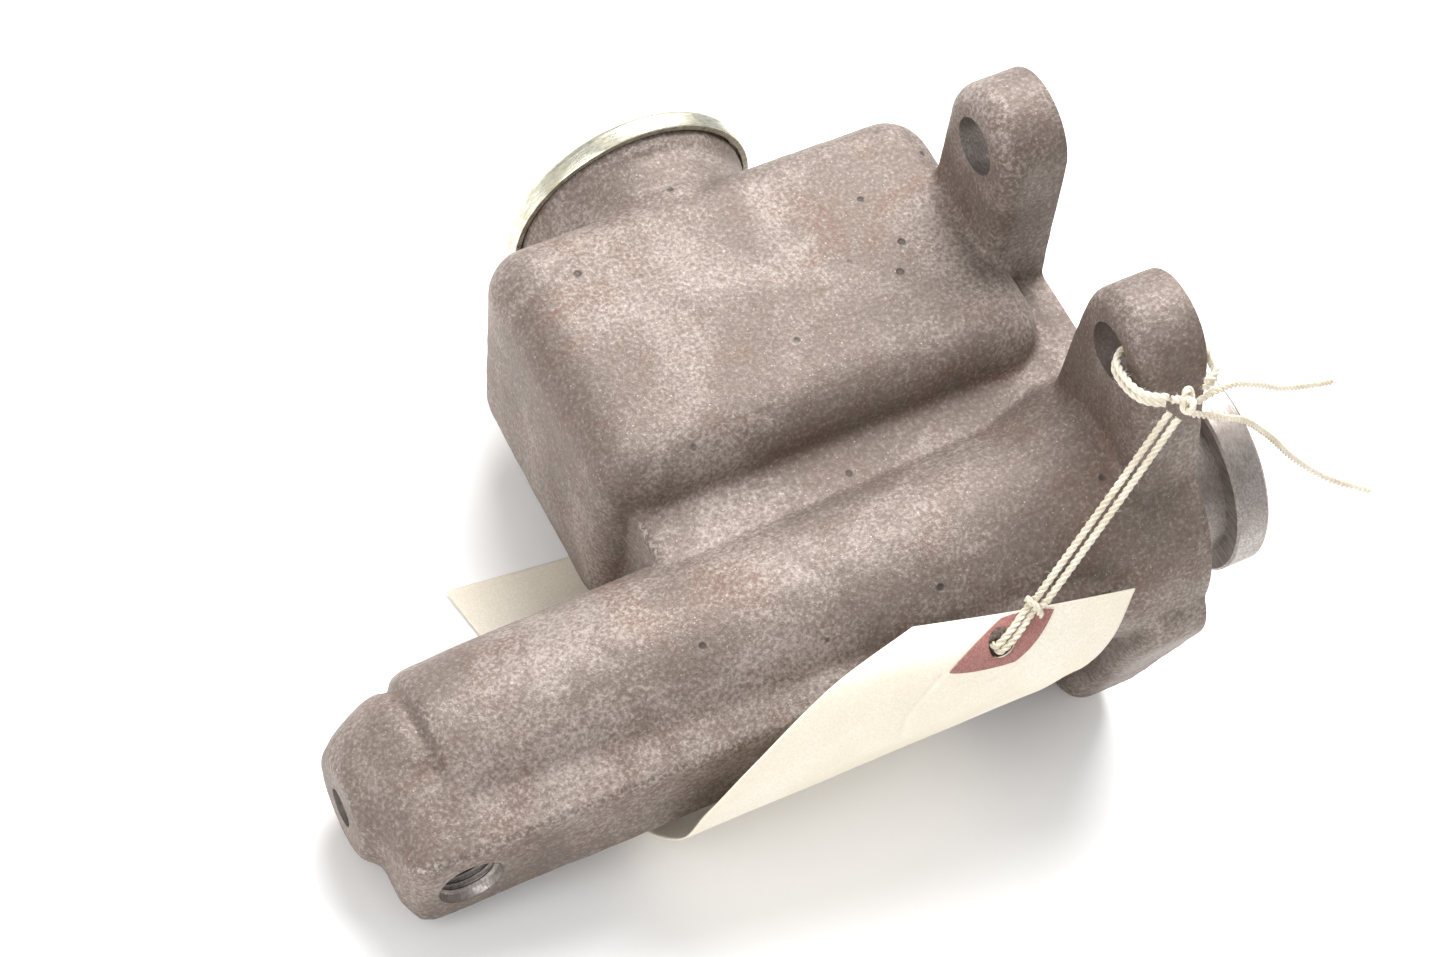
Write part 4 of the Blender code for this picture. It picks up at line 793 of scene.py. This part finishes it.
def tagRows():
    rows = [(Vector(a), Vector(b)) for a, b in tag["rows"]]

    def onFloor(x, y, height):  # the level in the bore's frame that is this far above the surface
        low, high = (lying @ (Vector((x, y, z)) * mm) for z in (0.0, 1.0))
        return (height * mm - low.z) / (high.z - low.z)

    for leftX, leftY, rightX, rightY, height in tag["flatRows"]:
        rows.append((Vector((leftX, leftY, onFloor(leftX, leftY, height))),
                     Vector((rightX, rightY, onFloor(rightX, rightY, height)))))
    return rows


def tagSpot(u, v, rows):
    k = min(int(v), len(rows) - 2)
    t = v - k
    ends = []
    for side in (0, 1):
        p1, p2 = rows[k][side], rows[k + 1][side]
        p0 = rows[k - 1][side] if k > 0 else 2 * p1 - p2
        p3 = rows[k + 2][side] if k + 2 < len(rows) else 2 * p2 - p1
        ends.append(curveSpot(p0, p1, p2, p3, t))
    along = (v - tag["bulgeAt"]) / tag["bulgeReach"]
    bulge = tag["bulge"] * math.sin(math.pi * u) * math.exp(-along ** 2)
    return ends[0].lerp(ends[1], u) + bulge * Vector(tag["bulgeWay"])


def tagOut(u, v, rows):
    step = 0.02
    over = tagSpot(u + step, v, rows) - tagSpot(u - step, v, rows)
    down = tagSpot(u, v + step, rows) - tagSpot(u, max(v - step, 0), rows)
    return down.cross(over).normalized()


def creaseDepth(u, v):
    wide, deep = tag["cell"]
    spot = Vector((u * wide, v * deep))
    near = math.inf
    for line in tag["creases"]:
        corners = [Vector((x * wide, y * deep)) for x, y in line]
        for a, b in zip(corners, corners[1:]):
            t = min(max((spot - a).dot(b - a) / (b - a).length_squared, 0), 1)
            near = min(near, (spot - a.lerp(b, t)).length)
    return tag["creaseDepth"] * math.exp(-(near / tag["creaseReach"]) ** 2)


def cardGrid(name, uRange, vRange, across, along, lift, rows, rounded=0.0):
    middle = tagSpot(*tag["hole"], rows)
    edge = tag["holeRadius"]
    bm = bmesh.new()
    grid = []
    for j in range(along + 1):
        row = []
        for i in range(across + 1):
            a, b = i / across, j / along
            if rounded:  # soft corners: pull the rim of the square in towards a circle
                x, y = 2 * a - 1, 2 * b - 1
                reach = max(abs(x), abs(y))
                shrink = 1 - rounded * (math.hypot(x, y) / max(reach, 1e-6) - 1)
                a, b = 0.5 + 0.5 * x * shrink, 0.5 + 0.5 * y * shrink
            u = uRange[0] + (uRange[1] - uRange[0]) * a
            v = vRange[0] + (vRange[1] - vRange[0]) * b
            spot = tagSpot(u, v, rows)
            way = spot - middle
            if edge - tag["holeInside"] < way.length < edge + tag["holeOutside"]:
                spot = middle + way.normalized() * edge
            wave = tag["ripple"] * noise.noise(Vector((u * 4.0, v * 1.3, 2))) * min(v, 1)
            height = lift + (wave - creaseDepth(u, v))
            row.append(bm.verts.new((spot + tagOut(u, v, rows) * height) * mm))
        grid.append(row)
    for j in range(along):
        for i in range(across):
            corners = (grid[j][i], grid[j][i + 1], grid[j + 1][i + 1], grid[j + 1][i])
            centre = sum((c.co for c in corners), Vector()) / 4 / mm
            if (centre - middle).length > edge + lift * 0.15:
                bm.faces.new(corners)
    bmesh.ops.delete(bm, geom=[v for v in bm.verts if not v.link_faces], context="VERTS")
    return meshOf(bm, name)


def cardMaterial(name, dark, pale, stain, roughness=0.82):
    paint, w, shader, place = newMaterial(name)
    soft = placeGroup(w, fibers, Place=place, Fiber_Scale=2200.0, Drift_Scale=45.0)
    color = w.blend(soft["Fiber"], dark, pale)
    color = w.blend(w.sum("MULTIPLY", soft["Drift"], 0.35), color, stain)
    fleck = w.ramp(w.noise(place, 1300.0, 2.0, 0.5), 0.70, 0.80)
    color = w.blend(w.sum("MULTIPLY", fleck, 0.35), color, stain)
    wireShader(w, shader, color, roughness, 0.0, soft["Fiber"], 0.18, 0.00012)
    return paint


def thicken(piece, thickness):
    thick = piece.modifiers.new("thickness", "SOLIDIFY")
    thick.thickness = thickness * mm
    thick.offset = 0


def buildTag():
    rows = tagRows()
    wholeLength = (0, len(rows) - 1)
    mesh = cardGrid("card_tag", (0, 1), wholeLength, tag["across"], tag["along"], 0.0, rows)
    manila = cardMaterial("manila_card", *tag["card"])
    card = addPiece("card_tag", mesh, manila, "housing", 30, ["tag"])
    thicken(card, tag["thickness"])
    steps = tag["patchSteps"]
    mesh = cardGrid("hole_patch", *tag["patch"], steps, steps, tag["patchLift"], rows, tag["patchRounding"])
    rose = cardMaterial("rose_patch", *tag["rose"])
    patch = addPiece("hole_patch", mesh, rose, "housing", 30, ["tag_patch"])
    thicken(patch, tag["patchThickness"])


# string, routes in the bore's frame, mm

string = dict(
    diameter=1.5, ply=3, plyShare=0.464, twist=4.6, sides=27, spacing=0.33, wobble=0.05,
    dark=(0.62, 0.54, 0.40, 1), pale=(0.88, 0.83, 0.72, 1), fiberScale=1700.0, roughness=0.92,
    routes=dict(
        loop_a=[(161.6, -9.4, 51.9), (159.8, -8.6, 51.9), (157.6, -6.8, 51.9), (156.5, -3.6, 51.8),
                (156.6, 0.6, 51.6), (158.4, 3.0, 51.4), (161.5, 3.9, 51.2), (165.0, 4.2, 51.1),
                (169.0, 3.9, 51.2), (172.0, 2.8, 51.4), (173.6, 0.2, 51.6), (173.9, -4.0, 51.9),
                (173.2, -7.4, 52.4), (171.2, -9.3, 52.8), (169.2, -9.8, 53.0)],
        loop_b=[(161.3, -9.5, 50.0), (159.6, -8.7, 50.0), (157.5, -6.8, 50.0), (156.4, -3.6, 49.9),
                (156.5, 0.6, 49.7), (158.4, 3.0, 49.5), (161.5, 3.9, 49.3), (165.0, 4.2, 49.2),
                (169.0, 3.9, 49.3), (172.0, 2.8, 49.5), (173.6, 0.2, 49.7), (173.9, -4.0, 50.0),
                (173.3, -7.4, 50.4), (171.3, -9.4, 50.8), (169.3, -9.9, 50.9)],
        leg_a=[(163.1, -12.1, 47.5), (153.0, -16.2, 37.8), (143.1, -20.1, 28.4), (133.4, -23.9, 19.4)],
        leg_b=[(162.1, -10.5, 47.9), (152.0, -14.6, 38.2), (142.1, -18.5, 28.8), (132.4, -22.3, 19.8)],
        end_a=[(168.0, -10.6, 47.9), (173.0, -9.6, 47.2), (178.9, -8.4, 44.3), (185.8, -7.7, 39.0),
               (192.6, -7.1, 33.0), (201.0, -5.6, 26.6), (209.8, -3.7, 20.0)],
        end_b=[(166.3, -12.0, 46.9), (170.6, -12.1, 43.8), (176.4, -11.4, 38.4), (183.1, -10.3, 31.6),
               (191.8, -9.8, 20.0), (200.1, -10.6, 8.0), (210.5, -12.6, -3.6), (221.5, -14.4, -12.6)]),
    knot=(165.0, -10.4, 50.0), knotRadius=2.15, knotSteps=32, knotFuzz=40,
    tipPlies=5, tipPly=0.42, tipFuzz=26, fuzzPerMm=1.6,
)


def smoothPath(points, spacing):
    ends = [2 * points[0] - points[1]] + list(points) + [2 * points[-1] - points[-2]]
    stretches = zip(ends, ends[1:], ends[2:], ends[3:])
    fine = [curveSpot(*four, step / 16) for four in stretches for step in range(16)]
    fine.append(points[-1])
    fine = np.array([tuple(p) for p in fine])
    gone = np.concatenate(([0], np.cumsum(np.linalg.norm(np.diff(fine, axis=0), axis=1))))
    count = max(4, int(gone[-1] / spacing))
    at = np.linspace(0, gone[-1], count + 1)
    return np.stack([np.interp(at, gone, fine[:, axis]) for axis in range(3)], 1), gone[-1]


def twistedStrand(bm, points, diameter, taper=False):  # plies wound round a smooth path
    s = string
    path, length = smoothPath([Vector(p) for p in points], s["spacing"])
    ways = np.gradient(path, axis=0)
    ways /= np.linalg.norm(ways, axis=1)[:, None]
    side = Vector(ways[0]).orthogonal().normalized()
    rings = []
    outer = diameter / 2
    ply = outer * s["plyShare"]
    reach = outer - ply
    for k, (spot, way) in enumerate(zip(path, ways)):
        way = Vector(way)
        side = (side - way * side.dot(way)).normalized()
        other = way.cross(side)
        wound = 2 * math.pi * k * s["spacing"] / s["twist"]
        thin = min(1.0, 0.55 + 0.45 * min(k, len(path) - 1 - k) / 3) if taper else 1.0
        ring = []
        for n in range(s["sides"]):
            angle = 2 * math.pi * n / s["sides"]
            off = (angle * s["ply"] / (2 * math.pi) + 0.5) % 1 - 0.5
            lean = off * 2 * math.pi / s["ply"]
            bow = max(ply ** 2 - (reach * math.sin(lean)) ** 2, (0.25 * ply) ** 2)
            bulge = reach * math.cos(lean) + math.sqrt(bow)
            fuzz = 1 + s["wobble"] * noise.noise(Vector((spot[0] * 3 + n, spot[1] * 3, spot[2] * 3)))
            radius = min(bulge, outer) * thin * fuzz
            turn = angle + wound
            away = (side * math.cos(turn) + other * math.sin(turn)) * radius
            ring.append(bm.verts.new((Vector(spot) + away) * mm))
        rings.append(ring)
    for one, two in zip(rings, rings[1:]):
        for n in range(s["sides"]):
            m = (n + 1) % s["sides"]
            bm.faces.new((one[n], one[m], two[m], two[n]))
    bm.faces.new(list(reversed(rings[0])))
    bm.faces.new(rings[-1])
    return path, length


def addFuzz(bm, path, count, rng, reach=0.9, thickness=0.035):  # loose fibres, each a thin sliver
    for k in range(count):
        spot = Vector(path[rng.integers(0, len(path))])
        way = Vector(rng.normal(size=3)).normalized()
        bend = Vector(rng.normal(size=3)) * 0.35
        start = spot + way * 0.5
        steps = [start, start + (way + bend * 0.4) * reach * 0.5,
                 start + (way + bend) * reach * rng.uniform(0.6, 1.1)]
        rings = []
        for step, width in zip(steps, (thickness, thickness * 0.8, thickness * 0.3)):
            a = way.orthogonal().normalized() * width
            b = way.cross(a)
            rings.append([bm.verts.new((step + a * math.cos(q) + b * math.sin(q)) * mm)
                          for q in (0, 2.09, 4.19)])
        for one, two in zip(rings, rings[1:]):
            for n in range(3):
                bm.faces.new((one[n], one[(n + 1) % 3], two[(n + 1) % 3], two[n]))


def strandPiece(bm, name, cotton, cadNodes=()):
    return addPiece(name, meshOf(bm, name), cotton, "housing", 60, cadNodes)


def frayEnd(tips, fuzz, path, rng):  # the cut end opens into its plies
    s = string
    tip = Vector(path[-1])
    way = (tip - Vector(path[-6])).normalized()
    for k in range(s["tipPlies"]):
        spread = Vector(rng.normal(size=3)) * 0.55
        end = tip + way * rng.uniform(1.2, 2.2) + spread
        twistedStrand(tips, [tip - way * 0.6, tip + way * 0.7 + spread * 0.5, end], s["tipPly"], taper=True)
    addFuzz(fuzz, path[-8:], s["tipFuzz"], rng, 1.6)


def knotPath():  # a trefoil pulled tight
    s = string
    size = s["knotRadius"] / 2.3 * 1.05
    points = []
    for k in range(s["knotSteps"] + 1):
        t = 2 * math.pi * k / s["knotSteps"]
        turn = Vector((math.sin(t) + 1.3 * math.sin(2 * t), math.cos(t) - 1.3 * math.cos(2 * t),
                       -1.15 * math.sin(3 * t)))
        points.append(Vector(s["knot"]) + turn * size)
    return points


def addHitch(bm):  # two strands up through the tag's hole and over its edge, and a turn round them
    s = string
    rows = tagRows()
    hu, hv = tag["hole"]
    out, edgeOut = tagOut(hu, hv, rows), tagOut(hu, 0, rows)
    hole, edge = tagSpot(hu, hv, rows), tagSpot(hu, 0, rows)
    over = (edge - hole).normalized()
    side = over.cross(out).normalized()
    for sign, leg in ((-1, "leg_b"), (1, "leg_a")):
        near = hole - over * 1.4 + side * sign * 0.75
        points = [near - out * 0.6, near + out * 0.9 + over * 0.4,
                  hole + side * sign * 0.85 + out * 1.5 + over * 2.6,
                  edge + side * sign * 0.8 + edgeOut * 1.35, Vector(s["routes"][leg][-1])]
        twistedStrand(bm, points, s["diameter"])
    wrap = [edge + over * 0.6 + side * k * 1.25 + edgeOut * (1.5 + 1.25 * math.cos(k * 0.75))
            for k in range(-2, 3)]
    twistedStrand(bm, wrap, s["diameter"])


def buildString():
    s = string
    cotton = softMaterial("cotton_string", s["dark"], s["pale"], s["fiberScale"], s["roughness"])
    rng = np.random.default_rng(3)
    fuzz = bmesh.new()
    tips = bmesh.new()
    for name, route in s["routes"].items():
        bm = bmesh.new()
        path, length = twistedStrand(bm, route, s["diameter"])
        cord = strandPiece(bm, "cotton_" + name, cotton, ["string_" + name])
        addFuzz(fuzz, path, int(length * s["fuzzPerMm"]), rng)
        if name.startswith("end"):
            frayEnd(tips, fuzz, path, rng)
    bm = bmesh.new()
    path, length = twistedStrand(bm, knotPath(), s["diameter"])
    addFuzz(fuzz, path, s["knotFuzz"], rng)
    knotPiece = strandPiece(bm, "cotton_knot", cotton, ["string_knot"])
    bm = bmesh.new()
    addHitch(bm)
    hitch = strandPiece(bm, "cotton_hitch", cotton, ["string_hitch"])
    fuzzPiece = strandPiece(fuzz, "cotton_fuzz", cotton)
    tipPiece = strandPiece(tips, "frayed_tips", cotton)


buildString()
print("string done")
buildTag()
print("tag done")
dressFittedPieces()
buildCover()
print("fitted pieces done")
buildCasting(ironMaterial(), machinedIronMaterial())
print("casting done")
